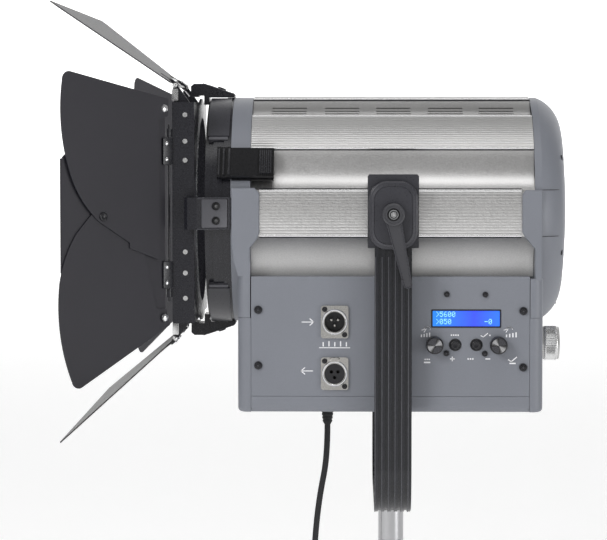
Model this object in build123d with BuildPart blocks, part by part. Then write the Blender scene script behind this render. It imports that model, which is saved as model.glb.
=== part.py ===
from build123d import *
from math import asin, atan2, cos, degrees, pi, radians, sin, tan
import os

os.makedirs("parts", exist_ok=True)

# Row frame: +X to the rear of the light, -Y the control side, +Z up.
# The origin is the mouth of the stand socket, on the yoke's centre line.

# ---- driving dimensions, mm ----
axis_z = 344.0  # height of the optical axis and tilt axis

shell_r = 110.0  # outer radius of the round head
shell_bore = 100.5
shell_front = -135.0
shell_rear = 134.0
land_half = 22.0  # half width of each ribbed flat
cove_depth = 7.0
land_count = 8

bezel_front = -154.0
cap_apex = 169.0
spigot_front = -170.0
spigot_r = 97.7

case_half = 113.0  # half depth of the lower case
case_front = -147.1
case_rear = 142.3
column_front = -134.6  # rear edge of the front column
column_rear = 129.6  # front edge of the rear column
panel_top = -59.8  # heights from here on are from the optical axis
panel_low = -173.6
case_low = -189.0
seam_z = -99.0
sheet = 2.0
post_r = 9.0  # rounding of the bezel's and cap's upright corners
end_post_r = 10.0  # rounding of the end panels' upright corners
foot_r = 4.0  # rounding of the end panels' lower edges
gap = 0.3

ring_front = -178.6
ring_rear = -154.3
frame_front = -209.3
frame_half = 105.0
# hinge lines: position along the optical axis and distance from it
hinge_spot = {
    "top": (-208.0, 121.0),
    "bottom": (-208.0, 121.0),
    "near": (-212.4, 106.0),
    "far": (-212.4, 106.0),
}
leaf_long = 124.0
leaf_t = 1.2
leaf_angle = {"top": 36.0, "bottom": 41.0, "near": 41.0, "far": 60.0}

yoke_out = 135.0  # outer face of the yoke's arms
yoke_t = 5.0
yoke_wide = 35.0
yoke_low = -286.0
yoke_bend = 42.0

socket_r = 12.5
bore_r = 8.05
bore_deep = 44.0

cord_d = 6.0
coil_turn_r = 36.0  # middle of the coil's turns
coil_half = 9.0
coil_x = -112.0
coil_z = -52.0


# ---- planes and small helpers ----
def across(x):
    """Plane across the optical axis at x: local x is +Y, local y is +Z."""
    return Plane(origin=(x, 0, axis_z), x_dir=(0, 1, 0), z_dir=(1, 0, 0))


def side(y):
    """Plane along the optical axis at depth y: local x is +X, local y is +Z, normal is -Y."""
    return Plane(origin=(0, y, axis_z), x_dir=(1, 0, 0), z_dir=(0, -1, 0))


def level(z):
    """Horizontal plane at height z from the optical axis."""
    return Plane.XY.offset(axis_z + z)


def radial(x, angle, distance):
    """Plane touching a cylinder about the optical axis: normal points outwards, local x is +X."""
    out = (0, cos(radians(angle)), sin(radians(angle)))
    origin = (x, distance * out[1], axis_z + distance * out[2])
    return Plane(origin=origin, x_dir=(1, 0, 0), z_dir=out)


def save(part, name):
    part.label = name
    export_step(part, "parts/" + name + ".step")


# ---- round head: body extrusion ----
land_angle = degrees(asin(land_half / shell_r))
cove_edge = 180.0 / land_count - land_angle
chord_half = shell_r * sin(radians(cove_edge))
chord_x = shell_r * cos(radians(cove_edge))
cove_floor = shell_r - cove_depth
rise = chord_x - cove_floor
cove_r = (chord_half**2 + rise**2) / (2 * rise)
vent_starts = [-116.7, -65.5, -15.7, 34.6, 84.0]
vent_long = 34.0
vent_rows = [-9.0, -3.0, 3.0, 9.0]

with BuildPart() as body_extrusion:
    with BuildSketch(across(shell_front)):
        Circle(shell_r)
        with PolarLocations(cove_floor + cove_r, land_count, start_angle=180 / land_count):
            Circle(cove_r, mode=Mode.SUBTRACT)
        Circle(shell_bore, mode=Mode.SUBTRACT)
    extrude(amount=shell_rear - shell_front)
    for vent_angle in (67.5, 112.5):
        with BuildSketch(radial(0, vent_angle, cove_floor - 8)):
            for start in vent_starts:
                for row in vent_rows:
                    with Locations((start + vent_long / 2, row)):
                        SlotOverall(vent_long, 1.8)
        extrude(amount=14, mode=Mode.SUBTRACT)
    with BuildSketch(level(-shell_r - 2)):
        Rectangle(180, 30)
    extrude(amount=16, mode=Mode.SUBTRACT)
save(body_extrusion.part, "body_extrusion")

# ---- front bezel: ring, spigot for the accessory ring and shoulders over the front column ----
cheek_in = shell_r + 0.3
cheek_out = case_half - 0.4
bezel_cheek = [
    (-153.4, 24),
    (-131, 24),
    (-126.5, 19),
    (-126.5, -19),
    (-129, -25),
    (-135.4, -33),
    (-135.4, -60),
    (-147.0, -60),
    (-151.5, -45),
    (-153.4, -25),
]
cap_cheek = [
    (141, 22),
    (125, 22),
    (122, 18),
    (122, -18),
    (125, -23),
    (134.4, -34),
    (134.4, -64),
    (141, -64),
]


def cheek(outline, hand):
    """Flat plate on the side of the round head, flush with the lower case."""
    with BuildPart() as plate:
        with BuildSketch(side(hand * cheek_in)):
            with BuildLine():
                Polyline(*outline, close=True)
            make_face()
        extrude(amount=-hand * (cheek_out - cheek_in))
        with BuildSketch(side(hand * (shell_r - 12))):
            with BuildLine():
                Polyline(*[(x, z) for x, z in outline if abs(x) > shell_rear + gap], close=True)
            make_face()
        extrude(amount=-hand * (cheek_in + 0.1 - shell_r + 12))
        rim = plate.faces().sort_by(Axis.Y)[0 if hand < 0 else -1].outer_wire().edges()
        chamfer(rim, 0.9)
    return plate.part


with BuildPart() as front_bezel:
    with BuildSketch(across(bezel_front)):
        Circle(shell_r)
    extrude(amount=shell_front - gap - bezel_front)
    with BuildSketch(across(case_front)):
        with Locations((0, (seam_z + gap / 2 - 45) / 2)):
            Rectangle(2 * case_half, -45 - seam_z - gap / 2)
    extrude(amount=shell_front - gap - case_front)
    corners = front_bezel.edges().filter_by(Axis.Z).group_by(Axis.X)[0]
    fillet(corners, post_r)
    for hand in (-1, 1):
        add(cheek(bezel_cheek, hand))
    with BuildSketch(across(spigot_front)):
        Circle(spigot_r)
    extrude(amount=bezel_front - spigot_front)
    with BuildSketch(across(spigot_front)):
        Circle(93.0)
    extrude(amount=shell_front - spigot_front, mode=Mode.SUBTRACT)
save(front_bezel.part, "front_bezel")

# ---- rear cap: dome with a corner seam, and shoulders over the rear column ----
cap_wall = 3.0
cap_screw_r = 90.5
shoulder_high = -62.0 - seam_z - gap / 2
with BuildPart() as rear_cap:
    with BuildSketch(Plane(origin=(0, 0, axis_z), x_dir=(1, 0, 0), z_dir=(0, -1, 0))):
        with BuildLine():
            Line((shell_rear + gap, shell_r - cap_wall), (shell_rear + gap, shell_r))
            Line((shell_rear + gap, shell_r), (141, shell_r))
            ThreePointArc((141, shell_r), (157.5, 98), (164.8, 72))
            ThreePointArc((164.8, 72), (167.5, 52), (cap_apex, 26))
            Line((cap_apex, 26), (cap_apex, 0))
            Line((cap_apex, 0), (cap_apex - cap_wall, 0))
            Line((cap_apex - cap_wall, 0), (cap_apex - cap_wall, 26))
            ThreePointArc((cap_apex - cap_wall, 26), (164.5, 51.5), (161.8, 71.5))
            ThreePointArc((161.8, 71.5), (154.5, 96), (140, shell_r - cap_wall))
            Line((140, shell_r - cap_wall), (shell_rear + gap, shell_r - cap_wall))
        make_face()
    revolve(axis=Axis((0, 0, axis_z), (1, 0, 0)))
    with BuildSketch(across(column_rear + gap)):
        with Locations((0, seam_z + gap / 2 + shoulder_high / 2)):
            Rectangle(2 * case_half, shoulder_high)
        Circle(shell_r + gap, mode=Mode.SUBTRACT)
    extrude(amount=case_rear - column_rear - gap)
    with BuildSketch(across(shell_rear + gap)):
        with Locations((0, seam_z + gap / 2 + shoulder_high / 2)):
            Rectangle(2 * case_half, shoulder_high)
        Circle(shell_r - 1.5, mode=Mode.SUBTRACT)
    extrude(amount=case_rear - shell_rear - gap)
    corners = rear_cap.edges().filter_by(Axis.Z).group_by(Axis.X)[-1]
    fillet(corners, post_r)
    for hand in (-1, 1):
        add(cheek(cap_cheek, hand))
    with BuildSketch(across(157)):
        with PolarLocations(cap_screw_r, 6, start_angle=25):
            Circle(2.8)
    extrude(amount=12, mode=Mode.SUBTRACT)
save(rear_cap.part, "rear_cap")

# ---- end panels of the lower case ----
knob_z = -132.0
with BuildPart() as front_end_panel:
    with BuildSketch(level(case_low)):
        with Locations(((case_front + column_front) / 2, 0)):
            Rectangle(column_front - case_front, 2 * case_half)
    extrude(amount=seam_z - gap / 2 - case_low)
    outer_posts = front_end_panel.edges().filter_by(Axis.Z).group_by(Axis.X)[0]
    fillet(outer_posts, end_post_r)
    foot = front_end_panel.edges().group_by(Axis.Z)[0]
    fillet(foot.filter_by(lambda e: e.center().X < column_front - 0.5), foot_r)
    with BuildSketch(level(case_low + sheet)):
        with Locations((column_front, 0)):
            Rectangle(2 * (column_front - case_front - 3), 2 * (case_half - 4))
    extrude(amount=100, mode=Mode.SUBTRACT)
    with BuildSketch(across(case_front - 1)):
        Circle(shell_r + gap)
    extrude(amount=20, mode=Mode.SUBTRACT)
save(front_end_panel.part, "front_end_panel")

with BuildPart() as rear_end_panel:
    with BuildSketch(level(case_low)):
        with Locations(((case_rear + column_rear) / 2, 0)):
            Rectangle(case_rear - column_rear, 2 * case_half)
    extrude(amount=seam_z - gap / 2 - case_low)
    outer_posts = rear_end_panel.edges().filter_by(Axis.Z).group_by(Axis.X)[-1]
    fillet(outer_posts, end_post_r)
    foot = rear_end_panel.edges().group_by(Axis.Z)[0]
    fillet(foot.filter_by(lambda e: e.center().X > column_rear + 0.5), foot_r)
    with BuildSketch(level(case_low + sheet)):
        with Locations((column_rear, 0)):
            Rectangle(2 * (case_rear - column_rear - 3), 2 * (case_half - 4))
    extrude(amount=100, mode=Mode.SUBTRACT)
    with BuildSketch(across(column_rear - 1)):
        Circle(shell_r + gap)
    extrude(amount=20, mode=Mode.SUBTRACT)
    with BuildSketch(across(column_rear)):
        with Locations((0, knob_z)):
            Circle(4.05)
    extrude(amount=20, mode=Mode.SUBTRACT)
save(rear_end_panel.part, "rear_end_panel")

# ---- control side: sockets, display and controls ----
socket_x = -55.1
socket_z = {"data_in": -102.8, "data_out": -151.9}
window_x = 69.3
window_z = -99.5
window_long = 64.4
window_high = 15.6
control_z = -124.4
knob_x = {"left": 39.5, "right": 99.8}
button_x = {"mode": 59.0, "confirm": 79.0}
case_screw_spots = [(-127.6, -91.4), (-127.6, -144.3), (123.4, -92.3), (123.4, -145.8)]
board_screw_spots = [(51.0, -76.5), (87.4, -76.8), (50.8, -132.5), (87.0, -132.8)]
panel_front = column_front + gap
panel_rear = column_rear - gap
panel_mid = (panel_front + panel_rear) / 2
panel_long = panel_rear - panel_front


def panel_plate(hand):
    """Side panel: a plate with a top return that reaches in to the round head."""
    with BuildPart() as panel:
        with BuildSketch(side(hand * case_half)):
            with Locations((panel_mid, (panel_top + panel_low) / 2)):
                Rectangle(panel_long, panel_top - panel_low - gap)
        extrude(amount=hand * sheet)
        with BuildSketch(level(panel_top - gap / 2)):
            with Locations((panel_mid, hand * (case_half + 94.5) / 2)):
                Rectangle(panel_long, case_half - 94.5)
        extrude(amount=-sheet)
        with BuildSketch(side(hand * case_half)):
            for spot in case_screw_spots:
                with Locations(spot):
                    Circle(1.9)
        extrude(amount=hand * sheet, mode=Mode.SUBTRACT)
    return panel.part


near_plate = panel_plate(-1)
far_plate = panel_plate(1)
with BuildPart() as side_panel_near:
    add(near_plate)
    with BuildSketch(side(-case_half)):
        for height in socket_z.values():
            with Locations((socket_x, height)):
                Circle(11.8)
        with Locations((window_x, window_z)):
            Rectangle(window_long + 0.4, window_high + 0.4)
        for x in knob_x.values():
            with Locations((x, control_z)):
                Circle(3.3)
        for x in button_x.values():
            with Locations((x, control_z)):
                Circle(4.95)
        for spot in board_screw_spots:
            with Locations(spot):
                Circle(1.9)
    extrude(amount=-sheet, mode=Mode.SUBTRACT)
save(side_panel_near.part, "side_panel_near")
save(far_plate, "side_panel_far")

gland_x = -63.0
with BuildPart() as bottom_tray:
    with BuildSketch(level(case_low)):
        with Locations((panel_mid, 0)):
            Rectangle(panel_long, 2 * case_half)
    extrude(amount=panel_low - gap / 2 - case_low)
    low_edges = bottom_tray.edges().filter_by(Axis.X).group_by(Axis.Z)[0]
    fillet(low_edges, 7)
    with BuildSketch(level(case_low + sheet)):
        with Locations((panel_mid, 0)):
            Rectangle(panel_long - 2 * sheet, 2 * (case_half - 7))
    extrude(amount=30, mode=Mode.SUBTRACT)
    with BuildSketch(level(case_low)):
        with Locations((gland_x, 0)):
            Circle(6.2)
    extrude(amount=sheet, mode=Mode.SUBTRACT)
save(bottom_tray.part, "bottom_tray")


def screws(spots, hands, head_r, head_t, shank):
    """Pan-head screws standing on the side panels, shank inwards."""
    with BuildPart() as group:
        for hand in hands:
            with BuildSketch(side(hand * case_half)):
                for spot in spots:
                    with Locations(spot):
                        Circle(head_r)
            extrude(amount=-hand * head_t)
            with BuildSketch(side(hand * case_half)):
                for spot in spots:
                    with Locations(spot):
                        Circle(1.7)
            extrude(amount=hand * shank)
        for hand in hands:
            rim = group.edges().filter_by(GeomType.CIRCLE).sort_by(Axis.Y)
            picked = rim[: len(spots)] if hand < 0 else rim[-len(spots) :]
            fillet(picked, head_t * 0.6)
            with BuildSketch(side(hand * (case_half + head_t))):
                for spot in spots:
                    with Locations(spot):
                        RegularPolygon(head_r * 0.5, 6)
            extrude(amount=hand * head_t * 0.6, mode=Mode.SUBTRACT)
    return group.part


with BuildPart() as cap_screws:
    with BuildSketch(across(157.5)):
        with PolarLocations(cap_screw_r, 6, start_angle=25):
            Circle(2.6)
    extrude(amount=4.5)

panel_screws = screws(case_screw_spots, (-1, 1), 3.5, 1.6, 7.0)
board_screws = screws(board_screw_spots, (-1,), 2.4, 0.8, 4.0)


# data sockets: square flange with a round shell, and an insulating insert with its contacts
def socket_shell(height):
    with BuildPart() as shell:
        with BuildSketch(side(-case_half)):
            with Locations((socket_x, height)):
                RectangleRounded(26, 31, 2.5)
        extrude(amount=2.2)
        with BuildSketch(side(-case_half)):
            with Locations((socket_x, height)):
                Circle(11.5)
        extrude(amount=-22)
        with BuildSketch(side(-case_half - 2.2)):
            with Locations((socket_x, height)):
                Circle(11.9)
        extrude(amount=1.4)
        with BuildSketch(side(-case_half - 4)):
            with Locations((socket_x, height)):
                Circle(9.7)
        extrude(amount=-30, mode=Mode.SUBTRACT)
        with BuildSketch(side(-case_half - 2.2)):
            with Locations((socket_x - 9.5, height + 12), (socket_x + 9.5, height - 12)):
                Circle(1.8)
        extrude(amount=-2.2, mode=Mode.SUBTRACT)
    return shell.part


def contact_spots(height):
    return [
        (socket_x + 3.6 * cos(radians(turn)), height + 3.6 * sin(radians(turn)))
        for turn in (150, 30, 270)
    ]


with BuildPart() as data_in_insert:
    with BuildSketch(side(-case_half + 9)):
        with Locations((socket_x, socket_z["data_in"])):
            Circle(9.6)
    extrude(amount=-10)

with BuildPart() as data_in_pins:
    with BuildSketch(side(-case_half + 9)):
        for spot in contact_spots(socket_z["data_in"]):
            with Locations(spot):
                Circle(1.2)
    extrude(amount=9)
    tips = data_in_pins.edges().filter_by(GeomType.CIRCLE).group_by(Axis.Y)[0]
    fillet(tips, 0.9)
save(data_in_pins.part, "data_in_pins")

with BuildPart() as data_out_insert:
    with BuildSketch(side(-case_half + 18)):
        with Locations((socket_x, socket_z["data_out"])):
            Circle(9.6)
    extrude(amount=20.5)
    with BuildSketch(side(-case_half - 2.5)):
        for spot in contact_spots(socket_z["data_out"]):
            with Locations(spot):
                Circle(1.6)
    extrude(amount=-12, mode=Mode.SUBTRACT)
inserts = [data_in_insert.part, data_out_insert.part]
save(Compound(children=inserts), "data_socket_inserts")

with BuildPart() as socket_screws:
    for height in socket_z.values():
        with BuildSketch(side(-case_half - 2.2)):
            with Locations((socket_x - 9.5, height + 12), (socket_x + 9.5, height - 12)):
                Circle(2.5)
        extrude(amount=0.9)
        with BuildSketch(side(-case_half - 2.2)):
            with Locations((socket_x - 9.5, height + 12), (socket_x + 9.5, height - 12)):
                Circle(1.6)
        extrude(amount=-2.2)
all_screws = [panel_screws, board_screws, cap_screws.part, socket_screws.part]
save(Compound(children=all_screws), "head_screws")

with BuildPart() as socket_latch_tab:
    with BuildSketch(side(-case_half - 2.2)):
        with Locations((socket_x, socket_z["data_out"] + 13.7)):
            RectangleRounded(7, 3, 0.8)
    extrude(amount=2.6)
shells = [socket_shell(height) for height in socket_z.values()]
save(Compound(children=shells + [socket_latch_tab.part]), "data_socket_shells")

with BuildPart() as display_window:
    with BuildSketch(side(-case_half + sheet)):
        with Locations((window_x, window_z)):
            Rectangle(window_long, window_high)
    extrude(amount=1.4)
save(display_window.part, "display_window")

with BuildPart() as display_module:
    with BuildSketch(side(-case_half + sheet + gap)):
        with Locations((window_x, window_z)):
            Rectangle(80, 24)
    extrude(amount=-9)
save(display_module.part, "display_module")

board_y = -case_half + 16
with BuildPart() as control_board:
    with BuildSketch(side(board_y)):
        with Locations((window_x, -112)):
            Rectangle(104, 56)
    extrude(amount=-1.6)
    with BuildSketch(side(board_y)):
        for x in knob_x.values():
            with Locations((x, control_z)):
                Rectangle(12, 12)
        for x in button_x.values():
            with Locations((x, control_z)):
                Rectangle(8, 8)
    extrude(amount=5)
save(control_board.part, "control_board")


def encoder_knob(x):
    with BuildPart() as knob:
        with BuildSketch(side(-case_half - 0.6)):
            with Locations((x, control_z)):
                Circle(8.0)
        extrude(amount=11.4)
        face_rim = knob.edges().filter_by(GeomType.CIRCLE).group_by(Axis.Y)[0]
        chamfer(face_rim, 0.8)
        with BuildSketch(side(-case_half - 0.6)):
            with Locations((x, control_z)):
                Circle(3.0)
        extrude(amount=-9.5)
    return knob.part


save(encoder_knob(knob_x["left"]), "encoder_knob_left")
save(encoder_knob(knob_x["right"]), "encoder_knob_right")


def push_button(x):
    with BuildPart() as button:
        with BuildSketch(side(-case_half + 7)):
            with Locations((x, control_z)):
                Circle(4.6)
        extrude(amount=9.6)
        face_rim = button.edges().filter_by(GeomType.CIRCLE).group_by(Axis.Y)[0]
        fillet(face_rim, 1.2)
    return button.part


save(push_button(button_x["mode"]), "mode_button")
save(push_button(button_x["confirm"]), "confirm_button")

# ---- optics and light engine ----
lens_r = 92.6
lens_steps = 9
with BuildPart() as fresnel_lens:
    with BuildSketch(Plane(origin=(0, 0, axis_z), x_dir=(1, 0, 0), z_dir=(0, -1, 0))):
        with BuildLine():
            pitch = lens_r / lens_steps
            stepped = [(-142.0, 0.0), (-150.0, 0.0)]
            for step in range(lens_steps):
                stepped.append((-150.0 + 3.2 * (step + 1) / lens_steps, pitch * (step + 0.92)))
                stepped.append((-150.0, pitch * (step + 1)))
            stepped.append((-142.0, lens_r))
            Polyline(*stepped, close=True)
        make_face()
    revolve(axis=Axis((0, 0, axis_z), (1, 0, 0)))
save(fresnel_lens.part, "fresnel_lens")

with BuildPart() as lens_retaining_ring:
    with BuildSketch(across(-141.7)):
        Circle(92.7)
        Circle(86.0, mode=Mode.SUBTRACT)
    extrude(amount=5)
save(lens_retaining_ring.part, "lens_retaining_ring")

rod_spots = [(-62.0, -52.0), (62.0, -52.0)]
with BuildPart() as guide_rods:
    with BuildSketch(across(-126)):
        for spot in rod_spots:
            with Locations(spot):
                Circle(4.0)
    extrude(amount=250)
save(guide_rods.part, "guide_rods")

with BuildPart() as rod_holders:
    for x in (-134.0, 124.3):
        with BuildSketch(across(x)):
            Circle(97.5)
            Circle(91.0, mode=Mode.SUBTRACT)
            for spot in rod_spots:
                with Locations(spot):
                    Circle(9.0)
        extrude(amount=5.7)
save(rod_holders.part, "rod_holders")

carriage_x = 10.0
with BuildPart() as led_carriage:
    with BuildSketch(across(carriage_x)):
        Rectangle(110, 90)
        with Locations((0, -53)):
            Rectangle(138, 26)
        with Locations((0, -100)):
            Rectangle(20, 90)
        for spot in rod_spots:
            with Locations(spot):
                Circle(4.06, mode=Mode.SUBTRACT)
        with Locations((0, knob_z)):
            Circle(9.2, mode=Mode.SUBTRACT)
    extrude(amount=6)
save(led_carriage.part, "led_carriage")

with BuildPart() as led_module:
    with BuildSketch(across(carriage_x)):
        Rectangle(60, 60)
    extrude(amount=-3)
    with BuildSketch(across(carriage_x - 3)):
        Circle(20)
    extrude(amount=-1.2)
save(led_module.part, "led_module")

with BuildPart() as reflector:
    with BuildSketch(Plane(origin=(0, 0, axis_z), x_dir=(1, 0, 0), z_dir=(0, -1, 0))):
        with BuildLine():
            Polyline(
                (carriage_x - 3, 24),
                (carriage_x - 3, 29),
                (carriage_x - 28, 42),
                (carriage_x - 28, 40),
                (carriage_x - 5, 24),
                close=True,
            )
        make_face()
    revolve(axis=Axis((0, 0, axis_z), (1, 0, 0)))
save(reflector.part, "reflector")

with BuildPart() as heat_sink:
    with BuildSketch(across(carriage_x + 6)):
        Rectangle(86, 86)
    extrude(amount=6)
    with BuildSketch(across(carriage_x + 12)):
        with GridLocations(7, 0, 12, 1):
            Rectangle(2, 86)
    extrude(amount=34)
save(heat_sink.part, "heat_sink")

fan_x = carriage_x + 46.3
with BuildPart() as fan_frame:
    with BuildSketch(across(fan_x)):
        RectangleRounded(92, 92, 5)
        Circle(42, mode=Mode.SUBTRACT)
        with GridLocations(82.5, 82.5, 2, 2):
            Circle(2.2, mode=Mode.SUBTRACT)
    extrude(amount=20)
    with BuildSketch(across(fan_x + 17)):
        Circle(16)
        Rectangle(86, 5)
        Rectangle(5, 86)
    extrude(amount=3)
save(fan_frame.part, "fan_frame")

with BuildPart() as fan_rotor:
    with BuildSketch(across(fan_x + 2)):
        Circle(16)
    extrude(amount=14)
    with BuildSketch(across(fan_x + 4)):
        with PolarLocations(27, 7):
            Rectangle(28, 5)
    extrude(amount=10)
save(fan_rotor.part, "fan_rotor")

with BuildPart() as drive_nut:
    with BuildSketch(across(carriage_x - 6)):
        with Locations((0, knob_z)):
            Circle(9.0)
            Circle(4.06, mode=Mode.SUBTRACT)
    extrude(amount=18)
    with BuildSketch(across(carriage_x + 6.0)):
        with Locations((0, knob_z)):
            RectangleRounded(19.5, 26, 3)
            Circle(8.5, mode=Mode.SUBTRACT)
    extrude(amount=3)
save(drive_nut.part, "drive_nut")

with BuildPart() as lead_screw:
    with BuildSketch(across(-60)):
        with Locations((0, knob_z)):
            Circle(4.0)
    extrude(amount=205)
save(lead_screw.part, "lead_screw")

with BuildPart() as focus_knob:
    with BuildSketch(across(case_rear + 0.6)):
        with Locations((0, knob_z)):
            Circle(16.0)
            with PolarLocations(16.3, 40):
                Circle(0.8, mode=Mode.SUBTRACT)
    extrude(amount=22.5)
    with BuildSketch(across(case_rear + 0.6)):
        with Locations((0, knob_z)):
            Circle(4.0)
    extrude(amount=2.2, mode=Mode.SUBTRACT)
save(focus_knob.part, "focus_knob")

with BuildPart() as power_supply:
    with BuildSketch(level(case_low + sheet + gap)):
        with Locations((-20, 62)):
            Rectangle(190, 78)
    extrude(amount=42)
    offset(amount=-1.5, mode=Mode.SUBTRACT)
save(power_supply.part, "power_supply")

# ---- tilt blocks on the sides of the head ----
pivot_r = 5.0
block_in = 104.0
block_out = yoke_out - yoke_t - gap


def tilt_block(hand):
    with BuildPart() as block:
        with BuildSketch(side(hand * block_in)):
            with Locations((0, 2.5)):
                Rectangle(48, 69)
            Circle(pivot_r + 0.06, mode=Mode.SUBTRACT)
        extrude(amount=-hand * (block_out - block_in))
        posts = block.edges().filter_by(Axis.Y).group_by(Axis.Z)[-1]
        chamfer(posts, 1.5)
        with BuildSketch(across(-30)):
            Circle(shell_r + 0.02)
        extrude(amount=60, mode=Mode.SUBTRACT)
    return block.part


save(Compound(children=[tilt_block(-1), tilt_block(1)]), "tilt_blocks")

# ---- latch of the accessory ring ----
latch_angle = 156.0
latch_half = 14.5
with BuildPart() as latch_guide:
    with BuildSketch(radial(0, latch_angle, shell_r + 0.2)):
        with Locations((-133.0, 0)):
            Rectangle(40, 2 * latch_half + 2)
    extrude(amount=2.6)
save(latch_guide.part, "latch_guide")

with BuildPart() as latch_slider:
    with BuildSketch(radial(0, latch_angle, shell_r + 3.1)):
        with Locations((-133.1, 0)):
            Rectangle(40.8, 2 * latch_half)
        with Locations((-160.0, 0)):
            Rectangle(13.0, 2 * latch_half + 2)
    extrude(amount=6.5)
    with BuildSketch(radial(0, latch_angle, shell_r + 9.6)):
        for groove in range(8):
            with Locations((-127.5 + 2 * groove, 0)):
                Rectangle(1.0, 2 * latch_half)
        with Locations((-160.0, 0)):
            Rectangle(6.0, 2 * latch_half + 2)
    extrude(amount=-1.2, mode=Mode.SUBTRACT)
save(latch_slider.part, "latch_slider")

# ---- accessory ring with ears ----
with BuildPart() as accessory_ring:
    with BuildSketch(Plane(origin=(0, 0, axis_z), x_dir=(1, 0, 0), z_dir=(0, -1, 0))):
        with BuildLine():
            Polyline(
                (ring_rear, spigot_r + 0.08),
                (ring_rear, shell_r),
                (-161, shell_r),
                (-161, shell_r - 1.5),
                (-171, shell_r - 1.5),
                (-171, shell_r - 3.5),
                (ring_front, shell_r - 3.5),
                (ring_front, spigot_r + 0.08),
                close=True,
            )
        make_face()
    revolve(axis=Axis((0, 0, axis_z), (1, 0, 0)))
save(accessory_ring.part, "accessory_ring")

ear_half = 15.0
ear_profile = [
    (-197.0, 110.7),
    (-197.0, 121.0),
    (-194.0, 123.6),
    (-185.0, 123.6),
    (-153.7, 112.8),
    (-153.7, 110.2),
    (-179.0, 110.2),
    (-179.0, 103.0),
    (-184.0, 103.0),
    (-184.0, 112.0),
    (-189.3, 112.0),
    (-189.3, 110.7),
]
ear_planes = [
    Plane(
        origin=(0, ear_half * cos(radians(turn)), axis_z + ear_half * sin(radians(turn))),
        x_dir=(1, 0, 0),
        z_dir=(0, -cos(radians(turn)), -sin(radians(turn))),
    )
    for turn in (0, 90, 180, 270)
]
with BuildPart() as ring_ears:
    for ear_plane in ear_planes:
        with BuildSketch(ear_plane):
            with BuildLine():
                Polyline(*ear_profile, close=True)
            make_face()
        extrude(amount=2 * ear_half)
save(ring_ears.part, "ring_ears")

ear_lean = atan2(123.6 - 112.8, 185.0 - 153.7)
ear_screw_x = -167.6
ear_screw_out = 112.8 + (-153.7 - ear_screw_x) * tan(ear_lean)
with BuildPart() as ear_screws:
    for turn in (0, 90, 180, 270):
        out = Vector(0, cos(radians(turn)), sin(radians(turn)))
        seat = Plane(
            origin=Vector(ear_screw_x, 0, axis_z) + out * (ear_screw_out + 0.02),
            x_dir=Vector(cos(ear_lean), 0, 0) - out * sin(ear_lean),
            z_dir=Vector(sin(ear_lean), 0, 0) + out * cos(ear_lean),
        )
        with BuildSketch(seat):
            with Locations((0, -6.9), (0, 6.9)):
                Circle(3.6)
        extrude(amount=1.6)

# ---- barn-door frame, hinge pins and rivets ----
knuckle_r = 2.6
pin_r = 1.2
knuckle_spots = [-76.0, -58.0, 58.0, 76.0]
frame_hands = {"top": 90, "far": 0, "bottom": 270, "near": 180}


def hinge_plane(which):
    """Plane at a hinge line: local x points forward, local y points out of the opening."""
    turn = radians(frame_hands[which])
    out = (0, cos(turn), sin(turn))
    spot_x, spot_out = hinge_spot[which]
    origin = (spot_x, spot_out * out[1], axis_z + spot_out * out[2])
    along = Vector(-1, 0, 0).cross(Vector(*out))
    return Plane(origin=origin, x_dir=(-1, 0, 0), z_dir=along)


with BuildPart() as barndoor_frame:
    with BuildSketch(across(frame_front)):
        Rectangle(2 * frame_half, 2 * frame_half)
        Rectangle(2 * frame_half - 3, 2 * frame_half - 3, mode=Mode.SUBTRACT)
    extrude(amount=-188.5 - frame_front)
    with BuildSketch(across(-188.5)):
        Circle(109)
        Circle(90, mode=Mode.SUBTRACT)
    extrude(amount=1.9)
    with BuildSketch(across(-190.0)):
        Rectangle(2 * frame_half, 2 * frame_half)
        Circle(96, mode=Mode.SUBTRACT)
    extrude(amount=1.5)
    for which in frame_hands:
        base = hinge_plane(which)
        for spot in (knuckle_spots[0], knuckle_spots[-1]):
            with BuildSketch(base.offset(spot - 4)):
                Circle(knuckle_r)
                if which in ("top", "bottom"):
                    foot = frame_half - hinge_spot[which][1]
                    with BuildLine():
                        Polyline((-14, foot - 0.5), (1.2, foot - 0.5), (2.4, 0), (-2.4, 0), close=True)
                    make_face()
                else:
                    with Locations((-3.0, -1.6)):
                        Rectangle(6, 1.6)
                Circle(pin_r + 0.02, mode=Mode.SUBTRACT)
            extrude(amount=8)
save(barndoor_frame.part, "barndoor_frame")

with BuildPart() as hinge_pins:
    for which in frame_hands:
        with BuildSketch(hinge_plane(which).offset(-84)):
            Circle(pin_r)
        extrude(amount=168)
save(hinge_pins.part, "hinge_pins")

rivet_heights = [93.0, 68.0, 50.0, -37.0, -57.0, -81.0]
with BuildPart() as frame_rivets:
    for hand in (-1, 1):
        with BuildSketch(side(hand * frame_half)):
            for height in rivet_heights:
                with Locations((-197.0, height)):
                    Circle(2.3)
        extrude(amount=-hand * 1.3)
save(Compound(children=[frame_rivets.part, ear_screws.part]), "ring_screws_and_rivets")


# ---- leaves: flared plates on their hinge lines ----
def leaf_plane(which, lift=0.0):
    """Plane of a leaf: local x runs out from the hinge, local y along it, normal away from the light."""
    turn = radians(frame_hands[which])
    tip = radians(leaf_angle[which])
    out = Vector(0, cos(turn), sin(turn))
    run = Vector(-1, 0, 0) * cos(tip) + out * sin(tip)
    normal = Vector(1, 0, 0) * sin(tip) + out * cos(tip)
    spot_x, spot_out = hinge_spot[which]
    origin = Vector(spot_x, 0, axis_z) + out * spot_out + normal * lift
    return Plane(origin=origin, x_dir=run, z_dir=normal)


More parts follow.
